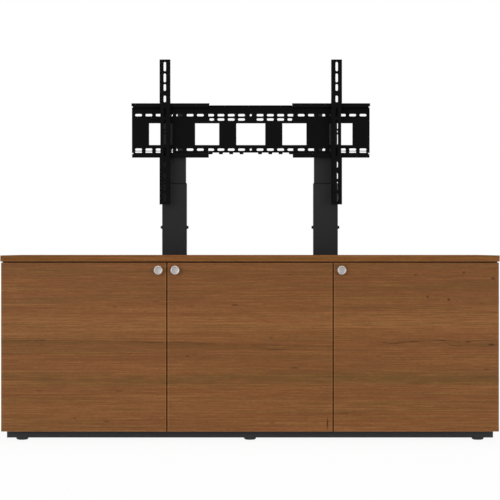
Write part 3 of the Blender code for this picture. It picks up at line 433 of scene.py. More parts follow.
def walnut(name, flecks=(), seams=(), gap_shaded_front=False, lipping_highlight=None, specular=WALNUT_SPECULAR):
    """Printed walnut laminate: fine lines, broad bands, dark flecks and dark seams in the print.

    A fleck is (x, z, half length, half height, depth). A seam is (points, half height, sharpness, depth,
    olive): its points are (x, z) from left to right, and olive is how far it leans from red. A board
    given as its low and high corners gets pale lipping along its left, right and bottom edges, painted
    lighter as an edge highlight. Asked for, faces that look forward are painted near-black: painted
    shade for the gaps between the doors.
    """
    material, start = new_finish(name, {"Specular IOR Level": specular})
    place = start.node("ShaderNodeTexCoord", output="Object")
    facing = axes_of(Shade(start.tree, place.socket.node.outputs["Normal"]))
    along_x, along_y, height = axes_of(place)
    end_face = start.maths("GREATER_THAN", abs(facing[0]), FACING)
    end_place = start.node("ShaderNodeCombineXYZ", None, {0: along_y + END_PRINT, 1: along_x, 2: height})
    lie = start.node("ShaderNodeMix", {"data_type": "VECTOR"}, {0: end_face, 4: place, 5: end_place},
                     output=1)
    shift = swing(noise(stretched(lie, WANDER_STRETCH), 1.0, WANDER_DETAIL), WANDER)
    lift = start.node("ShaderNodeCombineXYZ", None, {0: 0.0, 1: shift, 2: shift})
    flow = start.node("ShaderNodeVectorMath", {"operation": "ADD"}, {0: lie, 1: lift})

    def grain(scale, detail, stretch):
        return noise(stretched(flow, (stretch, 1.0, 1.0)), scale, detail)

    strokes = grain(*STROKES)
    patches = grain(*PATCHES)
    pores = start.maths("GREATER_THAN", grain(*PORES), PORE_LEVEL)
    stops = [(band / PRINT_TOP, (tone, tone, tone, 1.0)) for band, tone in PRINT_BANDS]
    bands = start.node("ShaderNodeValToRGB", {"stops": stops}, {0: axes_of(flow)[2] * (1 / PRINT_TOP)})
    tone = (bands + swing(grain(*LONG_LINES), LONG_LINE_TONE) + swing(strokes, STROKE_TONE)
            + swing(grain(*DASHES), DASH_TONE) + swing(grain(*ZONES), ZONE_TONE) - pores * PORE_TONE)
    leaning = start.node("ShaderNodeMapRange", None,
                         {0: grain(*TINTS), 1: RED_TINT, 2: OLIVE_TINT, 3: 0.0, 4: MOST_OLIVE})
    for points, half_height, sharpness, depth, olive_lean in seams:
        first_x, base = points[0]
        last_x = points[-1][0]
        length = last_x - first_x
        stops = [((x - first_x) / length, (0.5 + (z - base) / SEAM_SPAN,) * 3 + (1.0,)) for x, z in points]
        route = start.node("ShaderNodeValToRGB", {"stops": stops, "ease": "CARDINAL"},
                           {0: (along_x - first_x) * (1 / length)})
        off_line = abs(height - (swing(route, SEAM_SPAN) + base))
        near = start.maths("SUBTRACT", sharpness, off_line * (sharpness / half_height), clamp=True)
        ends = start.maths("MINIMUM", (along_x - first_x) * SEAM_FADE, (last_x - along_x) * SEAM_FADE,
                           clamp=True)
        mark = near * ends * (swing(patches, SEAM_PATCHES) + SEAM_COVER).clamped()
        tone = tone - mark * depth
        leaning = leaning + mark * olive_lean
    if flecks:
        ragged = noise(place, FLECK_TEAR_SCALE, FLECK_TEAR_DETAIL, output="Color")
        torn = start.node("ShaderNodeVectorMath", {"operation": "MULTIPLY_ADD"},
                          {0: ragged, 1: FLECK_TEAR, 2: place})
        for x, z, half_length, half_height, depth in flecks:
            wide, tall = FLECK_GROWTH * half_length, FLECK_GROWTH * half_height
            middle_x, middle_z = x + FLECK_TEAR[0] / 2, z + FLECK_TEAR[2] / 2
            off_middle = start.node("ShaderNodeVectorMath", {"operation": "MULTIPLY_ADD"},
                                    {0: torn, 1: (1 / wide, 0.0, 1 / tall),
                                     2: (-middle_x / wide, 0.0, -middle_z / tall)})
            mark = start.maths("MULTIPLY", 1.0 - length_of(off_middle), FLECK_EDGE, clamp=True)
            tone = tone - mark * depth
    if lipping_highlight:
        low, high = lipping_highlight
        beside = start.maths("MINIMUM", along_x - low.x, high.x - along_x)
        edge = start.maths("LESS_THAN", start.maths("MINIMUM", beside, height - low.z), LIPPING_HIGHLIGHT_WIDTH)
        # Painted highlight: pale lipping on the left, right and bottom edges, none on the shaded top edge
        tone = tone + edge * LIPPING_HIGHLIGHT_TONE
    tone = tone.clamped()
    red, olive = (
        start.node("ShaderNodeValToRGB",
                   {"stops": ((0.0, DARK_WALNUT), (0.5, plain), (1.0, PALE_WALNUT))}, {0: tone})
        for plain in (RED_WALNUT, OLIVE_WALNUT))
    colour = blend(leaning.clamped(), red, olive)
    # Faces that look forward are painted near-black: painted shade for the gaps between the doors
    if gap_shaded_front:
        colour = blend(start.maths("LESS_THAN", facing[1], -FACING), colour, GAP_SHADE)
    roughness = WALNUT_ROUGHNESS + swing(strokes, STROKE_GLOSS) + pores * PORE_GLOSS
    return surfaced(material, colour, roughness, strokes - pores * PORE_RELIEF, PRINT_STRENGTH, PRINT_DEPTH)


carcass_walnut = walnut("carcass_walnut")
dress(carcass_walnut, "side_panel_left", "side_panel_right", "inner_back")
dress(walnut("gap_shaded_walnut", gap_shaded_front=True), "bottom_panel", "partition_left", "partition_right")

# Rear covers: three thin walnut panels that close the service bay behind the columns.
# Each is held by pan-head screws along its upper and lower edges and can be taken off.
SCREW_RADIUS = 0.0038
SCREW_HEAD = 0.0022
SCREW_STEPS = 20
COVER_SCREW_INSET = 0.018
COVER_SCREW_RISE = 0.054
# A pan head with a dimple for the driver, as shares of its radius and of its height
PAN_HEAD = ((0.0, 0.45), (0.3, 0.5), (0.42, 0.95), (0.6, 1.0), (0.85, 0.85), (1.0, 0.4), (1.0, 0.0),
            (0.0, 0.0))
FACE_BACK = Matrix.Rotation(-QUARTER_TURN, 3, "X")
# Satin metal: its cloudy tone, the rings that a lathe leaves and how they change its gloss
CLOUD_SCALE = 160.0
CLOUD_DETAIL = 3.0
RING_SCALE = 2400.0
RING_DETAIL = 2.0
METAL_SPREAD = 0.14
METAL_GLOSS = 0.14
METAL_STRENGTH = 0.1
METAL_DEPTH = 0.0001


def pan_head(radius=SCREW_RADIUS, height=SCREW_HEAD):
    """The head of a small screw, standing on the origin along Z."""
    return spun(to_size(PAN_HEAD, radius, height), SCREW_STEPS)


def gathered(shapes):
    """Several closed shapes in one bmesh."""
    whole = bmesh.new()
    for shape in shapes:
        holder = bpy.data.meshes.new("holder")
        shape.to_mesh(holder)
        shape.free()
        whole.from_mesh(holder)
        bpy.data.meshes.remove(holder)
    return whole


def satin_metal(name, colour, roughness, centre=(0, 0, 0), turning=0.0, rim=None):
    """Satin metal, a little cloudy; with turning it shows the fine rings of a lathe about Y.

    A rim is (radius, colour): a painted highlight, this lighter colour beyond that distance from the centre.
    """
    material, start = new_finish(name, {"Metallic": 1.0})
    place = start.node("ShaderNodeTexCoord", output="Object")
    centred = start.node("ShaderNodeMapping", None, {"Vector": place, "Location": -Vector(centre)})
    across, _, up = axes_of(centred)
    from_axis = length_of(start.node("ShaderNodeCombineXYZ", None, {0: across, 1: 0.0, 2: up}))
    rings = start.node("ShaderNodeTexNoise", {"noise_dimensions": "1D"},
                       {"W": from_axis, "Scale": RING_SCALE, "Detail": RING_DETAIL})
    mark = noise(place, CLOUD_SCALE, CLOUD_DETAIL) * (1 - turning) + rings * turning
    tint = blend(mark, toned(colour, 1 - METAL_SPREAD), colour)
    # Painted highlight: a lighter colour beyond the rim's radius
    if rim:
        tint = blend(start.maths("GREATER_THAN", from_axis, rim[0]), tint, rim[1])
    return surfaced(material, tint, roughness + swing(mark, METAL_GLOSS), mark, METAL_STRENGTH, METAL_DEPTH)


dress(carcass_walnut, "rear_cover_left", "rear_cover_centre", "rear_cover_right")
screw_zinc = satin_metal("screw_zinc", screen_colour(150, 150, 148), roughness=0.35)
cover_screws = []
for word in ("left", "centre", "right"):
    low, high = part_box("rear_cover_" + word)
    for x in (low.x + COVER_SCREW_INSET, (low.x + high.x) / 2, high.x - COVER_SCREW_INSET):
        for z in (low.z + COVER_SCREW_RISE, high.z - COVER_SCREW_INSET):
            cover_screws.append(moved(pan_head(), (x, high.y, z), FACE_BACK))
piece("rear_cover_screws", gathered(cover_screws), screw_zinc, "cabinet")

# Shelves: one loose board in each compartment, on four nickelled pins.
# The pins push into holes in the uprights, and their round heads carry the board.
PIN_CURVE = ((0.0, 1.0), (0.7, 1.0), (1.0, 0.94), (1.0, 0.0), (0.0, 0.0))
PIN_RADIUS = 0.003
PIN_REACH = 0.0093
PIN_ROOT = 0.0005
PIN_INSET = 0.045
PIN_DROP = 0.0002
FACE_RIGHT = Matrix.Rotation(QUARTER_TURN, 3, "Y")
FACE_LEFT = Matrix.Rotation(-QUARTER_TURN, 3, "Y")
dress(carcass_walnut, "shelf_left", "shelf_centre", "shelf_right")
hinge_nickel = satin_metal("hinge_nickel", screen_colour(168, 168, 166), roughness=0.32)
pins = []
for word in ("left", "centre", "right"):
    low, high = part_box("shelf_" + word)
    for y in (low.y + PIN_INSET, high.y - PIN_INSET):
        for x, turn in ((low.x - PIN_ROOT, FACE_RIGHT), (high.x + PIN_ROOT, FACE_LEFT)):
            pin = spun(to_size(PIN_CURVE, PIN_RADIUS, PIN_REACH), SCREW_STEPS)
            pins.append(moved(pin, (x, y, low.z - PIN_RADIUS - PIN_DROP), turn))
piece("shelf_pins", gathered(pins), hinge_nickel, "cabinet")

# Top: one long walnut-laminated board, screwed down on the spacer so that it seems to float.
# It has two openings for the lift columns, and its edges carry the same print as its face.
dress(walnut("top_walnut", specular=0.0), "top_panel")

# Doors: three slab doors cut from one run of laminate, so that the print carries across them.
# Flecks, long seams, wavy strands and one olive band of the print lie where the real doors have them.
# Two soft buffers near the free edge of each door meet the cabinet.
# Each fleck of the print: x, z, half length, half height and depth
DOOR_FLECKS = {
    "left": ((-0.551, 0.553, 0.010, 0.003, 0.25), (-0.383, 0.576, 0.016, 0.003, 0.12),
             (-0.841, 0.416, 0.010, 0.003, 0.20), (-0.846, 0.400, 0.010, 0.006, 0.12),
             (-0.490, 0.361, 0.009, 0.003, 0.22), (-0.858, 0.212, 0.018, 0.0022, 0.22),
             (-0.534, 0.210, 0.014, 0.0022, 0.20), (-0.713, 0.1005, 0.008, 0.003, 0.25),
             (-0.585, 0.086, 0.011, 0.003, 0.22), (-0.951, 0.109, 0.022, 0.003, 0.12),
             (-0.466, 0.266, 0.045, 0.008, 0.07), (-0.8075, 0.259, 0.050, 0.008, 0.06)),
    "centre": ((-0.062, 0.560, 0.014, 0.0035, 0.35), (0.159, 0.684, 0.010, 0.003, 0.20),
               (0.0865, 0.4256, 0.007, 0.003, 0.28), (0.108, 0.380, 0.052, 0.0025, 0.32),
               (-0.254, 0.352, 0.009, 0.003, 0.30), (-0.228, 0.357, 0.012, 0.003, 0.12),
               (0.1825, 0.304, 0.016, 0.003, 0.32), (0.097, 0.277, 0.060, 0.006, 0.08),
               (-0.069, 0.260, 0.020, 0.008, 0.06), (0.091, 0.081, 0.010, 0.003, 0.22),
               (0.268, 0.080, 0.016, 0.003, 0.12), (0.315, 0.0785, 0.0024, 0.022, 0.55)),
    "right": ((0.8705, 0.692, 0.008, 0.006, 0.24), (0.673, 0.682, 0.007, 0.0055, 0.20),
              (0.990, 0.668, 0.008, 0.0055, 0.38), (0.723, 0.594, 0.0065, 0.005, 0.30),
              (0.809, 0.582, 0.0055, 0.005, 0.40), (0.948, 0.566, 0.014, 0.003, 0.12),
              (0.755, 0.472, 0.014, 0.003, 0.12), (0.887, 0.411, 0.012, 0.004, 0.32),
              (0.982, 0.399, 0.014, 0.004, 0.32), (0.5235, 0.3515, 0.010, 0.003, 0.14),
              (0.738, 0.320, 0.006, 0.003, 0.20), (0.965, 0.298, 0.014, 0.003, 0.30),
              (0.943, 0.264, 0.045, 0.008, 0.08), (0.687, 0.244, 0.050, 0.008, 0.08),
              (0.384, 0.120, 0.018, 0.003, 0.15))}
# Each seam of the print: its points from left to right, half height, sharpness, depth and olive lean
LONG_ROUTE = ((-1.10, 0.4177), (-0.336, 0.4085), (0.20, 0.3950), (0.42, 0.3915))
SHADE_DROP = 0.006
LONG_SEAM = (LONG_ROUTE, 0.0038, 1.0, 0.20, 0.2)
SEAM_SHADE = (tuple((x, z - SHADE_DROP) for x, z in LONG_ROUTE), 0.012, 1.2, 0.07, 0.3)
UPPER_STRAND = (((0.50, 0.417), (0.584, 0.403), (0.623, 0.412), (0.714, 0.410), (0.779, 0.416),
                 (0.883, 0.409), (0.922, 0.415), (1.03, 0.414)), 0.0036, 1.0, 0.28, 0.0)
LOWER_STRAND = (((0.49, 0.396), (0.584, 0.402), (0.66, 0.410), (0.779, 0.416), (0.824, 0.396),
                 (0.909, 0.399), (0.948, 0.391), (1.03, 0.400)), 0.0034, 1.0, 0.24, 0.0)
OLIVE_BAND = (((-1.10, 0.262), (-0.40, 0.261), (0.35, 0.262), (0.60, 0.260), (0.75, 0.256), (1.10, 0.260)),
              0.0225, 3.0, 0.06, 0.55)
DOOR_SEAMS = {"left": (LONG_SEAM, SEAM_SHADE, OLIVE_BAND), "centre": (LONG_SEAM, SEAM_SHADE, OLIVE_BAND),
              "right": (UPPER_STRAND, LOWER_STRAND, OLIVE_BAND)}
# The dome of a buffer, as shares of its radius and of its height
BUFFER_DOME = ((0.0, 1.0), (0.6, 0.98), (0.9, 0.75), (1.0, 0.3), (1.0, 0.0), (0.0, 0.0))
BUFFER_STEPS = 24
BUFFER_RADIUS = 0.004
BUFFER_HEIGHT = 0.0017
BUFFER_INSET = 0.011
buffer_rubber = mottled("buffer_rubber", screen_colour(178, 178, 174), roughness=0.45, specular=0.3,
                        grain=1200.0)
for word, free_side in (("left", 1), ("centre", -1), ("right", -1)):
    low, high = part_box("door_" + word)
    door_walnut = walnut("door_walnut_" + word, DOOR_FLECKS[word], DOOR_SEAMS[word], lipping_highlight=(low, high))
    dress(door_walnut, "door_" + word)
    free_x = (high.x if free_side > 0 else low.x) - free_side * BUFFER_INSET
    buffers = []
    for z in (low.z + BUFFER_INSET, high.z - BUFFER_INSET):
        dome = spun(to_size(BUFFER_DOME, BUFFER_RADIUS, BUFFER_HEIGHT), BUFFER_STEPS)
        buffers.append(moved(dome, (free_x, high.y, z), FACE_BACK))
    piece("door_buffers_" + word, gathered(buffers), buffer_rubber, word + "_door")

# Knobs: turned satin metal, a flat dished face on a waisted neck; the rim is a painted highlight.
# Each is held by one screw through the door.
KNOB_CURVE = ((0.0, 0.953), (0.585, 0.953), (0.68, 0.962), (0.80, 0.990), (0.86, 1.0), (0.93, 0.996),
              (0.975, 0.975), (1.0, 0.93), (1.0, 0.875), (0.985, 0.82), (0.94, 0.755), (0.83, 0.68),
              (0.68, 0.60), (0.56, 0.50), (0.495, 0.40), (0.473, 0.28), (0.473, 0.0), (0.0, 0.0))
KNOB_STEPS = 64
KNOB_FACE = screen_colour(151, 148, 146)
KNOB_RIM_HIGHLIGHT = screen_colour(172, 166, 161)
KNOB_HIGHLIGHT_SHARE = 0.81
KNOB_SCREW_RADIUS = 0.0045
KNOB_SCREW_HEAD = 0.0019
FACE_FRONT = Matrix.Rotation(QUARTER_TURN, 3, "X")
for word in ("left", "centre", "right"):
    low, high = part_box("knob_" + word)
    middle = (low + high) / 2
    radius, reach = (high.x - low.x) / 2, high.y - low.y
    # The knob's rim gets a lighter colour, a painted highlight
    knob_metal = satin_metal("knob_metal_" + word, KNOB_FACE, roughness=0.42, centre=middle, turning=0.75,
                             rim=(KNOB_HIGHLIGHT_SHARE * radius, KNOB_RIM_HIGHLIGHT))
    knob = spun(to_size(KNOB_CURVE, radius, reach), KNOB_STEPS)
    knob = moved(knob, (middle.x, high.y, middle.z), FACE_FRONT)
    piece("knob_turned_" + word, knob, knob_metal, word + "_door", ["knob_" + word])
    door_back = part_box("door_" + word)[1].y
    screw = moved(pan_head(KNOB_SCREW_RADIUS, KNOB_SCREW_HEAD), (middle.x, door_back, middle.z), FACE_BACK)
    piece("knob_screw_" + word, screw, screw_zinc, word + "_door")

# Concealed hinges: a pressed steel cup in each door and a cranked arm on the upright beside it.
# The cup's flange takes two screws into the door, and the arm's plate end two into the upright.
CORNER_STEPS = 8
EDGE_STEPS = 3
# The pressed bowl of a cup, as shares of its radius and of its depth with the flange
CUP_MOUTH = 0.937
CUP_BOWL = ((0.0, 0.0), (0.88, 0.0), (0.975, 0.05), (1.0, 0.14), (1.0, 0.97), (0.982, 1.0), (0.955, 1.0),
            (CUP_MOUTH, 0.965), (CUP_MOUTH, 0.2), (0.89, 0.1), (0.0, 0.082))
CUP_FLANGE_WIDTH = 0.023
CUP_FLANGE_CORNER = 0.0058
CUP_FLANGE_THICKNESS = 0.0012
CUP_FLANGE_EDGE = 0.0003
CUP_SCREW_REACH = 0.0235
# The arm in plan: its nose in the cup, the crank behind it and the plate end on the upright
NOSE_NEAR = 0.022
NOSE_FAR = 0.031
CRANK_REACH = 0.0184
CRANK_LEAN = 0.004
PLATE_LENGTH = 0.040
ARM_THICKNESS = 0.012
ARM_EASE = 0.001
GROOVE_WIDTH = 0.0092
GROOVE_DEPTH = 0.0024
PLATE_SCREW_REACHES = (0.0085, 0.0255)


def block(low, high):
    """A plain square cutter or bar between two corners, given in any order."""
    first, second = Vector(low), Vector(high)
    size = second - first
    shape = bmesh.new()
    bmesh.ops.create_cube(shape, size=1.0)
    bmesh.ops.scale(shape, vec=(abs(size.x), abs(size.y), abs(size.z)), verts=shape.verts)
    return moved(shape, (first + second) / 2)


def eased(shape, edges, offset, steps):
    """A shape with some of its edges rounded off."""
    bmesh.ops.bevel(shape, geom=edges, offset=offset, segments=steps, profile=0.5, affect="EDGES",
                    material=-1)
    return shape


def rounded_post(low, high, corner, edge=0.0):
    """A post with round upright corners, its top and bottom edges eased if asked."""
    shape = block(low, high)
    uprights = [item for item in shape.edges if abs(item.verts[0].co.z - item.verts[1].co.z) > WELD]
    eased(shape, uprights, corner, CORNER_STEPS)
    if edge:
        rims = [item for item in shape.edges if abs(item.verts[0].co.z - item.verts[1].co.z) < WELD]
        eased(shape, rims, edge, EDGE_STEPS)
    return shape


def added_points(grown):
    """The vertices that an extrusion has added."""
    return [item for item in grown["geom"] if isinstance(item, bmesh.types.BMVert)]


def worked(blank, joins=(), cuts=(), wall=0.0):
    """A blank after the workshop: a sheet gets its wall, pieces are joined on and holes are cut."""
    bench = []

    def laid(shape):
        mesh = bpy.data.meshes.new("bench")
        shape.to_mesh(mesh)
        shape.free()
        made = bpy.data.objects.new("bench", mesh)
        bpy.context.scene.collection.objects.link(made)
        bench.append(made)
        return made

    work = laid(blank)
    if wall:
        thicken = work.modifiers.new("wall", "SOLIDIFY")
        thicken.thickness = wall
        thicken.offset = 0.0
        thicken.use_even_offset = True
    for operation, tools in (("UNION", joins), ("DIFFERENCE", cuts)):
        for tool in tools:
            step = work.modifiers.new(operation, "BOOLEAN")
            step.operation = operation
            step.solver = "EXACT"
            step.object = laid(tool)
    bpy.context.view_layer.update()
    finished = bpy.data.meshes.new_from_object(work.evaluated_get(bpy.context.evaluated_depsgraph_get()))
    shape = bmesh.new()
    shape.from_mesh(finished)
    bpy.data.meshes.remove(finished)
    for item in bench:
        bpy.data.objects.remove(item, do_unlink=True)
    bmesh.ops.remove_doubles(shape, verts=shape.verts, dist=WELD)
    return shape


def drill(radius, reach, place):
    """A plain round cutter from front to back, centred on its place."""
    tool = bmesh.new()
    bmesh.ops.create_cone(tool, cap_ends=True, segments=ROUND_STEPS, radius1=radius, radius2=radius,
                          depth=reach)
    return moved(tool, place, FACE_BACK)


def pressed_cup(low, high):
    """A hinge cup between two corners: a bowl with a thin flange round its mouth."""
    middle = (low + high) / 2
    radius, depth = (high.x - low.x) / 2, high.y - low.y
    bowl = moved(spun(to_size(CUP_BOWL, radius, depth)), (middle.x, low.y, middle.z), FACE_BACK)
    flange = rounded_post(Vector((-CUP_FLANGE_WIDTH / 2, low.z - middle.z, 0)),
                          Vector((CUP_FLANGE_WIDTH / 2, high.z - middle.z, CUP_FLANGE_THICKNESS)),
                          CUP_FLANGE_CORNER, CUP_FLANGE_EDGE)
    flange = moved(flange, (middle.x, high.y - CUP_FLANGE_THICKNESS, middle.z), FACE_BACK)
    mouth = drill(CUP_MOUTH * radius, 2 * depth, (middle.x, high.y, middle.z))
    return gathered([bowl, worked(flange, cuts=[mouth])])


def pressed_arm(low, high, hinge_edge, side):
    """A hinge arm between two corners, cranked in plan, and where the floor of its groove lies along X."""
    mount = side * (hinge_edge - (high.x if side > 0 else low.x))
    bar = mount + ARM_THICKNESS
    plate_front, crank = high.y - PLATE_LENGTH, low.y + CRANK_REACH
    plan = ((mount, high.y), (mount, plate_front), (NOSE_NEAR, crank), (NOSE_NEAR, low.y), (NOSE_FAR, low.y),
            (NOSE_FAR, crank + CRANK_LEAN), (bar, plate_front + CRANK_LEAN), (bar, high.y))
    blank = bmesh.new()
    base = blank.faces.new([blank.verts.new((hinge_edge - side * reach, y, low.z)) for reach, y in plan])
    grown = bmesh.ops.extrude_face_region(blank, geom=[base])
    bmesh.ops.translate(blank, vec=(0, 0, high.z - low.z), verts=added_points(grown))
    bmesh.ops.recalc_face_normals(blank, faces=blank.faces)
    eased(blank, blank.edges[:], ARM_EASE, EDGE_STEPS)
    middle_z = (low.z + high.z) / 2
    bar_x = hinge_edge - side * bar
    groove_x = bar_x + side * GROOVE_DEPTH
    groove = block((groove_x, plate_front + 2 * CRANK_LEAN, middle_z - GROOVE_WIDTH / 2),
                   (bar_x - side * GROOVE_DEPTH, high.y + GROOVE_DEPTH, middle_z + GROOVE_WIDTH / 2))
    return worked(blank, cuts=[groove]), groove_x


for word, side in (("left", -1), ("centre", 1), ("right", 1)):
    cup_screws, arm_screws = [], []
    door_low, door_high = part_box("door_" + word)
    hinge_edge = door_low.x if side < 0 else door_high.x
    for level in ("lower", "upper"):
        cup = "hinge_cup_" + word + "_" + level
        low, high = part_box(cup)
        middle = (low + high) / 2
        piece(cup + "_bowl", pressed_cup(low, high), hinge_nickel, word + "_door", [cup])
        for rise in (-CUP_SCREW_REACH, CUP_SCREW_REACH):
            cup_screws.append(moved(pan_head(), (middle.x, high.y, middle.z + rise), FACE_BACK))

        arm = "hinge_arm_" + word + "_" + level
        low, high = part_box(arm)
        pressing, groove_x = pressed_arm(low, high, hinge_edge, side)
        piece(arm + "_pressing", pressing, hinge_nickel, "cabinet", [arm])
        turn = FACE_RIGHT if side < 0 else FACE_LEFT
        for back in PLATE_SCREW_REACHES:
            arm_screws.append(moved(pan_head(), (groove_x, high.y - back, (low.z + high.z) / 2), turn))
    piece("cup_screws_" + word, gathered(cup_screws), screw_zinc, word + "_door")
    piece("hinge_plate_screws_" + word, gathered(arm_screws), screw_zinc, "cabinet")

# Lift columns: rectangular steel tubes in dark grey powder coat that stand on the bottom panel.
# Each has a flange with four bolts, a plastic collar in its mouth and a bolt in each narrow side.
OUTER_CORNER = 0.009
OUTER_WALL = Vector((0.002, 0.002, 0))
INNER_CORNER = 0.0054
FLANGE_THICKNESS = 0.006
MOUTH_EDGE = 0.0012
COLLAR_GAP = 0.0003
GUIDE_GAP = Vector((COLLAR_GAP, COLLAR_GAP, 0))
BOLT_HEIGHT = 0.884
BOLT_SIDES = 6
BOLT_CORNER_RADIUS = 0.0072
BOLT_HEAD = 0.0060
BOLT_CHAMFER = 0.0007
BOLT_CHAMFER_STEPS = 2
WASHER_STEPS = 32
WASHER_RADIUS = 0.0092
WASHER_THICKNESS = 0.0016
WASHER_CHAMFER = 0.0003
FLANGE_BOLT_INSET = 0.011


def hex_bolt():
    """A washer and a hexagon head with a chamfered top, standing on the origin along Z."""
    profile = ((0, WASHER_THICKNESS), (WASHER_RADIUS - WASHER_CHAMFER, WASHER_THICKNESS),
               (WASHER_RADIUS, WASHER_THICKNESS - WASHER_CHAMFER), (WASHER_RADIUS, 0), (0, 0))
    washer = spun(profile, WASHER_STEPS)
    head = bmesh.new()
    bmesh.ops.create_cone(head, cap_ends=True, segments=BOLT_SIDES, radius1=BOLT_CORNER_RADIUS,
                          radius2=BOLT_CORNER_RADIUS, depth=BOLT_HEAD)
    crown = [item for item in head.edges if min(vert.co.z for vert in item.verts) > 0]
    eased(head, crown, BOLT_CHAMFER, BOLT_CHAMFER_STEPS)
    return gathered([washer, moved(head, (0, 0, WASHER_THICKNESS + BOLT_HEAD / 2))])


collar_plastic = mottled("collar_plastic", screen_colour(30, 30, 30), roughness=0.6, specular=0.05,
                         grain=900.0)
column_coat = mottled("column_coat", screen_colour(47, 48, 49), roughness=0.55, specular=0.06, grain=650.0,
                      spread=0.10)
black_zinc = satin_metal("black_zinc", screen_colour(44, 44, 44), roughness=0.45)
for word in ("left", "right"):
    low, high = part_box("column_outer_" + word)
    collar_low, collar_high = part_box("guide_collar_" + word)
    tube_low = Vector((collar_low.x, collar_low.y, low.z + FLANGE_THICKNESS))
    tube_high = Vector((collar_high.x, collar_high.y, high.z))
    bore_corner = OUTER_CORNER - OUTER_WALL.x
    above = Vector((0, 0, OUTER_CORNER))
    bore = rounded_post(tube_low + OUTER_WALL, tube_high - OUTER_WALL + above, bore_corner)
    tube = worked(rounded_post(tube_low, tube_high, OUTER_CORNER), cuts=[bore])
    flange = rounded_post(low, Vector((high.x, high.y, tube_low.z)), OUTER_CORNER, MOUTH_EDGE)
    piece("column_tube_" + word, gathered([tube, flange]), column_coat, "cabinet",
          ["column_outer_" + word])

    inner_low, inner_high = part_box("column_inner_" + word)
    mouth_low = Vector((collar_low.x, collar_low.y, high.z + COLLAR_GAP))
    skirt_top = Vector((collar_high.x, collar_high.y, mouth_low.z + MOUTH_EDGE))
    skirt_wall = OUTER_WALL + GUIDE_GAP
    skirt = rounded_post(collar_low + skirt_wall, skirt_top - skirt_wall, bore_corner - COLLAR_GAP)
    way = rounded_post(inner_low - GUIDE_GAP, inner_high + GUIDE_GAP, INNER_CORNER)
    collar = worked(rounded_post(mouth_low, collar_high, OUTER_CORNER, MOUTH_EDGE), joins=[skirt], cuts=[way])
    piece("guide_ring_" + word, collar, collar_plastic, "cabinet", ["guide_collar_" + word])

    middle_y = (collar_low.y + collar_high.y) / 2
    bolts = [moved(hex_bolt(), (tube_low.x, middle_y, BOLT_HEIGHT), FACE_LEFT),
             moved(hex_bolt(), (tube_high.x, middle_y, BOLT_HEIGHT), FACE_RIGHT)]
    for x in (low.x + FLANGE_BOLT_INSET, high.x - FLANGE_BOLT_INSET):
        for y in (low.y + FLANGE_BOLT_INSET, high.y - FLANGE_BOLT_INSET):
            bolts.append(moved(hex_bolt(), (x, y, tube_low.z)))
    piece("column_bolts_" + word, gathered(bolts), black_zinc, "cabinet")

# Lift drives: a motor with its gearbox in each column foot turns a spindle, and the nut climbs it.
# They are shut inside the tubes and keep their plain working shapes.
for word in ("left", "right"):
    dress(glide_plastic, "lift_motor_" + word, "spindle_nut_" + word)
    dress(screw_zinc, "lift_spindle_" + word)

# Control box: a moulded black case in two halves, screwed to the rear of the inner back.
# A seam runs round it, four small screws close it and the mains inlet is in its underside.
BOX_EDGE = 0.0015
BOX_SEAM = 0.0008
BOX_SEAM_SHARE = 0.62
BOX_CORE_INSET = Vector((0.0016, 0.0016, 0.0016))
BOX_SCREW_INSET = 0.011
INLET = Vector((0.028, 0.020, 0.014))
low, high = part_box("control_box")
seam_y = low.y + BOX_SEAM_SHARE * (high.y - low.y)
base_half = rounded_post(low, Vector((high.x, seam_y - BOX_SEAM / 2, high.z)), BOX_EDGE, BOX_EDGE / 2)
lid_half = rounded_post(Vector((low.x, seam_y + BOX_SEAM / 2, low.z)), high, BOX_EDGE, BOX_EDGE / 2)
core = rounded_post(low + BOX_CORE_INSET, high - BOX_CORE_INSET, BOX_EDGE)
underside = Vector(((low.x + high.x) / 2, (low.y + high.y) / 2, low.z))
inlet = block(underside - INLET / 2 - Vector((0, 0, INLET.z)), underside + INLET / 2)
case = worked(base_half, joins=[core, lid_half], cuts=[inlet])
piece("control_case", case, glide_plastic, "cabinet", ["control_box"])
box_screws = [moved(pan_head(), (x, high.y, z), FACE_BACK)
              for x in (low.x + BOX_SCREW_INSET, high.x - BOX_SCREW_INSET)
              for z in (low.z + BOX_SCREW_INSET, high.z - BOX_SCREW_INSET)]
piece("control_case_screws", gathered(box_screws), black_zinc, "cabinet")

# Inner tubes and saddles: the moving tube of each column and the grey steel saddle on its head.
# Two large holes go right through both, and the saddle's ears are cut back beside the holes.
HEAD_HOLE_RADIUS = 0.0146
HEAD_HOLE_HEIGHTS = (1.3762, 1.2220)
HEAD_DRILL_SPARE = 0.036
SADDLE_WAIST = (1.212, 1.388)
SADDLE_CORNER = 0.0006
INNER_WALL = 0.002
INNER_CAP = Vector((0, 0, 0.003))
# How far a cutter goes on to be well clear of its piece
CLEAR = 1.0


def head_drills(low, high):
    """The drills for the two holes through the head of an inner tube with these corners."""
    middle = (low + high) / 2
    reach = HEAD_DRILL_SPARE + high.y - low.y
    return [drill(HEAD_HOLE_RADIUS, reach, (middle.x, middle.y, z)) for z in HEAD_HOLE_HEIGHTS]


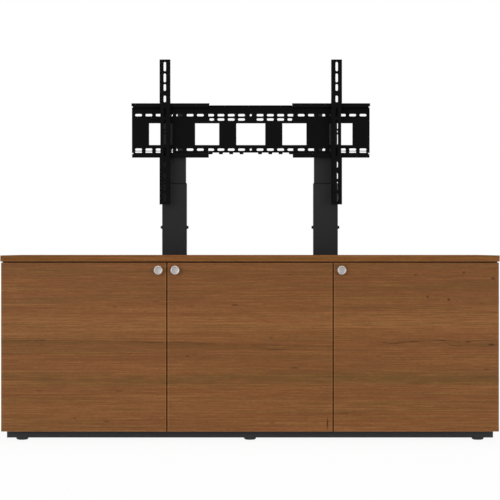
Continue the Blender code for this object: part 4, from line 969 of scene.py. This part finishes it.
for word in ("left", "right"):
    low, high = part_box("column_inner_" + word)
    wall = Vector((INNER_WALL, INNER_WALL, 0))
    bore = rounded_post(low + wall - INNER_CAP, high - wall - INNER_CAP, INNER_CORNER - INNER_WALL)
    tube = worked(rounded_post(low, high, INNER_CORNER), cuts=[bore] + head_drills(low, high))
    piece("column_riser_" + word, tube, column_coat, "lift_carriage",
          ["column_inner_" + word])

    saddle_low, saddle_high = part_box("head_saddle_" + word)
    above = Vector((0, 0, CLEAR))
    seat = rounded_post(low - GUIDE_GAP - above, high + GUIDE_GAP + above, INNER_CORNER)
    waist = []
    for inside, outside in ((low.x, saddle_low.x - INNER_WALL), (high.x, saddle_high.x + INNER_WALL)):
        waist.append(block((inside, saddle_low.y - INNER_WALL, SADDLE_WAIST[0]),
                           (outside, high.y, SADDLE_WAIST[1])))
    saddle = worked(rounded_post(saddle_low, saddle_high, SADDLE_CORNER),
                    cuts=[seat] + head_drills(low, high) + waist)
    piece("saddle_plate_" + word, saddle, column_coat, "lift_carriage",
          ["head_saddle_" + word])

# Centre rail: one pressed steel sheet in black powder coat, bolted across both saddles.
# Its upper edge is folded forward, its lower edge has small tabs, and slots and windows lighten it.
SHEET = 0.0025
BEND = 0.0025
BEND_STEPS = 5
BRACKET_CENTRE = 1.3005
# The slots stand in rows, on one pitch to each side of the bracket's middle
SLOT_STEPS = 32
SLOT_LENGTH = 0.030
SLOT_HEIGHT = 0.0105
SLOT_FIRST = 0.0408
SLOT_PITCH = 0.0452
SLOT_ROWS = (BRACKET_CENTRE + 0.0757, BRACKET_CENTRE - 0.0757)
SECOND_ROW = BRACKET_CENTRE + 0.0568
WINDOW_TOP = BRACKET_CENTRE + 0.0398
WINDOW_BOTTOM = BRACKET_CENTRE - 0.0555
CENTRE_WINDOW_HALF = 0.0634
INNER_WINDOW = (0.139, 0.2444)
CENTRE_HOLE = 0.0096
RAIL_SLOTS = 7
RAIL_SECOND_SLOTS = 4
SHORT_SLOT_LENGTH = 0.0204
RAIL_FOLD_HALF = 0.178
TAB_HEIGHT = 0.0071
TAB_WIDTH = 0.020
TAB_TIP_WIDTH = 0.0155
CUTTER_REACH = 6 * SHEET


def folded_sheet(points, along):
    """An open sheet: a chain of points swept along one direction, with its folds rounded."""
    shape = bmesh.new()
    chain = [shape.verts.new(point) for point in points]
    links = [shape.edges.new(pair) for pair in zip(chain, chain[1:])]
    swept = bmesh.ops.extrude_edge_only(shape, edges=links)
    bmesh.ops.translate(shape, vec=along, verts=added_points(swept))
    folds = [item for item in shape.edges if len(item.link_faces) == 2]
    eased(shape, folds, BEND, BEND_STEPS)
    bmesh.ops.recalc_face_normals(shape, faces=shape.faces)
    return shape


def slot_tool(x, y, z, length, height, upright=False):
    """A round-ended cutter through a sheet that faces Y, lying along X or standing along Z."""
    shape = bmesh.new()
    bmesh.ops.create_circle(shape, cap_ends=True, radius=height / 2, segments=SLOT_STEPS)
    for way in (-1, 1):
        half = [vert for vert in shape.verts if vert.co.x * way > WELD]
        bmesh.ops.translate(shape, vec=(way * (length - height) / 2, 0, 0), verts=half)
    grown = bmesh.ops.extrude_face_region(shape, geom=shape.faces[:])
    bmesh.ops.translate(shape, vec=(0, 0, CUTTER_REACH), verts=added_points(grown))
    bmesh.ops.translate(shape, vec=(0, 0, -CUTTER_REACH / 2), verts=shape.verts)
    bmesh.ops.recalc_face_normals(shape, faces=shape.faces)
    return moved(shape, (x, y, z), FACE_RIGHT @ FACE_FRONT if upright else FACE_FRONT)


def window(web, first_x, last_x):
    """A square cutter for a window in a web, between two places along the bracket."""
    return block((first_x, web - SHEET, WINDOW_BOTTOM), (last_x, web + SHEET, WINDOW_TOP))


def tab(x, y, z):
    """A small trapezoid tab that hangs under a sheet's lower edge."""
    shape = block((x - TAB_WIDTH / 2, y - SHEET / 2, z - TAB_HEIGHT),
                  (x + TAB_WIDTH / 2, y + SHEET / 2, z + SHEET))
    tip = [vert for vert in shape.verts if vert.co.z < z]
    bmesh.ops.scale(shape, vec=(TAB_TIP_WIDTH / TAB_WIDTH, 1, 1), space=Matrix.Translation((-x, 0, 0)),
                    verts=tip)
    return shape


bracket_coat = mottled("bracket_coat", screen_colour(13, 13, 13), roughness=0.5, specular=0.03, grain=650.0,
                       spread=0.12)
low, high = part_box("centre_rail")
bracket_x = (low.x + high.x) / 2
web = high.y - SHEET / 2
lower_edge = low.z + TAB_HEIGHT
crest = high.z - SHEET / 2
sheet = folded_sheet(((low.x, low.y, crest), (low.x, web, crest), (low.x, web, lower_edge)),
                     (high.x - low.x, 0, 0))
slots = [slot_tool(bracket_x, web, row, CENTRE_HOLE, CENTRE_HOLE) for row in SLOT_ROWS]
windows = [window(web, bracket_x - CENTRE_WINDOW_HALF, bracket_x + CENTRE_WINDOW_HALF)]
tabs, fold_ends = [], []
for way in (-1, 1):
    for number in range(RAIL_SLOTS):
        x = bracket_x + way * (SLOT_FIRST + SLOT_PITCH * number)
        slots += [slot_tool(x, web, row, SLOT_LENGTH, SLOT_HEIGHT) for row in SLOT_ROWS]
        if number < RAIL_SECOND_SLOTS:
            tabs.append(tab(x, web, lower_edge))
            length = SHORT_SLOT_LENGTH if number == RAIL_SECOND_SLOTS - 1 else SLOT_LENGTH
            inner_x = x - way * (SLOT_LENGTH - length) / 2
            slots.append(slot_tool(inner_x, web, SECOND_ROW, length, SLOT_HEIGHT))
    windows.append(window(web, bracket_x + way * INNER_WINDOW[0], bracket_x + way * INNER_WINDOW[1]))
    fold_ends.append(block((bracket_x + way * RAIL_FOLD_HALF, low.y - SHEET, high.z - 2 * SHEET - BEND),
                           (bracket_x + way * CLEAR, web - SHEET / 2, high.z + SHEET)))
rail = worked(sheet, joins=[gathered(tabs)], cuts=[gathered(fold_ends), gathered(slots + windows)],
              wall=SHEET)
piece("bracket_rail", rail, bracket_coat, "lift_carriage", ["centre_rail"])

# End plates: two pressed troughs that lap over the rail's ends and are bolted through its slots.
# Their upper and lower lips carry the screen arms.
# The places on the rail's pitch where a plate has slots, and the first that has a lowest slot too
PLATE_SLOTS = range(4, 11)
PLATE_FIRST_LOW_SLOT = 7
LOWEST_ROW = BRACKET_CENTRE - 0.0866
LOWEST_SLOT_HEIGHT = 0.0062
OUTER_WINDOW = (0.342, 0.4464)
PLATE_FOLD_TOP = BRACKET_CENTRE + 0.1070
PLATE_FOLD_BOTTOM = BRACKET_CENTRE - 0.0953
PLATE_WEB_SETBACK = 0.005
LIP_END_SETBACK = 0.0028
# The relief notch at the end of each fold: the fold, how far the notch goes below and above it, and its depth
RELIEFS = ((PLATE_FOLD_TOP, 0.001, 0.0048, 0.0056), (PLATE_FOLD_BOTTOM, 0.002, 0.005, 0.0068))
for word, way in (("left", -1), ("right", 1)):
    low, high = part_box("end_plate_" + word)
    inner_end, outer_end = (high.x, low.x) if way < 0 else (low.x, high.x)
    web, lip = high.y - SHEET / 2, low.y + SHEET / 2
    chain = ((lip, high.z), (lip, PLATE_FOLD_TOP), (web, PLATE_FOLD_TOP), (web, PLATE_FOLD_BOTTOM),
             (lip, PLATE_FOLD_BOTTOM), (lip, low.z))
    sheet = folded_sheet([(inner_end, y, z) for y, z in chain], (outer_end - inner_end, 0, 0))
    slots = []
    for number in PLATE_SLOTS:
        x = bracket_x + way * (SLOT_FIRST + SLOT_PITCH * number)
        slots += [slot_tool(x, web, row, SLOT_LENGTH, SLOT_HEIGHT) for row in SLOT_ROWS]
        if number >= PLATE_FIRST_LOW_SLOT:
            slots.append(slot_tool(x, web, LOWEST_ROW, SLOT_LENGTH, LOWEST_SLOT_HEIGHT))
    slots.append(window(web, bracket_x + way * OUTER_WINDOW[0], bracket_x + way * OUTER_WINDOW[1]))
    beyond = inner_end - way * BEND
    window_end = window(web, beyond, bracket_x + way * INNER_WINDOW[1])
    web_end = block((beyond, web - SHEET, PLATE_FOLD_BOTTOM + SHEET + BEND),
                    (inner_end + way * PLATE_WEB_SETBACK, web + SHEET, PLATE_FOLD_TOP - SHEET - BEND))
    trims = []
    for end, inward in ((inner_end, way), (outer_end, -way)):
        trims.append(block((end - inward * BEND, low.y - SHEET, low.z - SHEET),
                           (end + inward * LIP_END_SETBACK, low.y + 2 * SHEET, PLATE_FOLD_BOTTOM - SHEET)))
    for fold, below, above, depth in RELIEFS:
        trims.append(block((outer_end + way * BEND, low.y - SHEET, fold - below),
                           (outer_end - way * depth, web + SHEET, fold + above)))
    plate = worked(sheet, cuts=[gathered(slots), window_end, web_end] + trims, wall=SHEET)
    piece("bracket_trough_" + word, plate, bracket_coat, "lift_carriage",
          ["end_plate_" + word])

# Screen arms: two pressed channels with upright slots for the screen's fixing bolts.
# Hooks at the back hang over the upper lips, and a toe behind the lower lip stops each arm swinging.
ARM_SLOT_WIDTH = 0.0103
ARM_HOLE_RISE = 0.0018
# How far each slot's two ends are from the arm's middle, above it and below it
UPPER_SLOTS = ((0.0125, 0.055), (0.065, 0.105), (0.1295, 0.1584), (0.1792, 0.2084), (0.2166, 0.255),
               (0.2646, 0.305))
LOWER_SLOTS = ((0.009, 0.055), (0.065, 0.105), (0.1295, 0.155), (0.1792, 0.205), (0.2166, 0.255),
               (0.2646, 0.305))
ARM_RELIEF = 0.0036
HOOK_RISE = 0.014
HOOK_DROP = 0.009
HOOK_TOOTH = 0.006
TOE_HEIGHT = 0.012
TOE_REACH = 0.007
SEAT_GAP = 0.0003
for word, way in (("left", -1), ("right", 1)):
    low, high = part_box("screen_arm_" + word)
    plate_low, plate_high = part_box("end_plate_" + word)
    x, middle_z = (low.x + high.x) / 2, (low.z + high.z) / 2
    lip_back = plate_low.y + SHEET
    face, back = low.y + SHEET / 2, plate_low.y - SEAT_GAP
    sides = (low.x + SHEET / 2, high.x - SHEET / 2)
    sheet = folded_sheet(((sides[0], back, low.z), (sides[0], face, low.z), (sides[1], face, low.z),
                          (sides[1], back, low.z)), (0, 0, high.z - low.z))
    seat = plate_high.z + SEAT_GAP
    tooth = lip_back + SEAT_GAP
    hooks = []
    for side_x in sides:
        left, right = side_x - SHEET / 2, side_x + SHEET / 2
        hooks.append(block((left, back - 2 * SHEET, seat), (right, tooth + HOOK_TOOTH, seat + HOOK_RISE)))
        hooks.append(block((left, tooth, seat - HOOK_DROP), (right, tooth + HOOK_TOOTH, seat + SHEET)))
    toe_x, edge = (sides[0], high.x) if way > 0 else (sides[1], low.x)
    toe_top = plate_low.z - SEAT_GAP
    toe = block((toe_x - SHEET / 2, back - 2 * SHEET, toe_top - TOE_HEIGHT),
                (toe_x + SHEET / 2, lip_back + TOE_REACH, toe_top))
    relief = block((edge - way * ARM_RELIEF, low.y - SHEET, plate_low.z),
                   (edge + way * SHEET, back + SHEET, plate_high.z))
    slots = [slot_tool(x, face, middle_z + ARM_HOLE_RISE, CENTRE_HOLE, CENTRE_HOLE)]
    for up, ends in ((1, UPPER_SLOTS), (-1, LOWER_SLOTS)):
        slots += [slot_tool(x, face, middle_z + up * (near + far) / 2, far - near, ARM_SLOT_WIDTH, True)
                  for near, far in ends]
    arm = worked(sheet, joins=hooks + [toe], cuts=[relief, gathered(slots)], wall=SHEET)
    piece("arm_channel_" + word, arm, bracket_coat, word + "_arm",
          ["screen_arm_" + word])
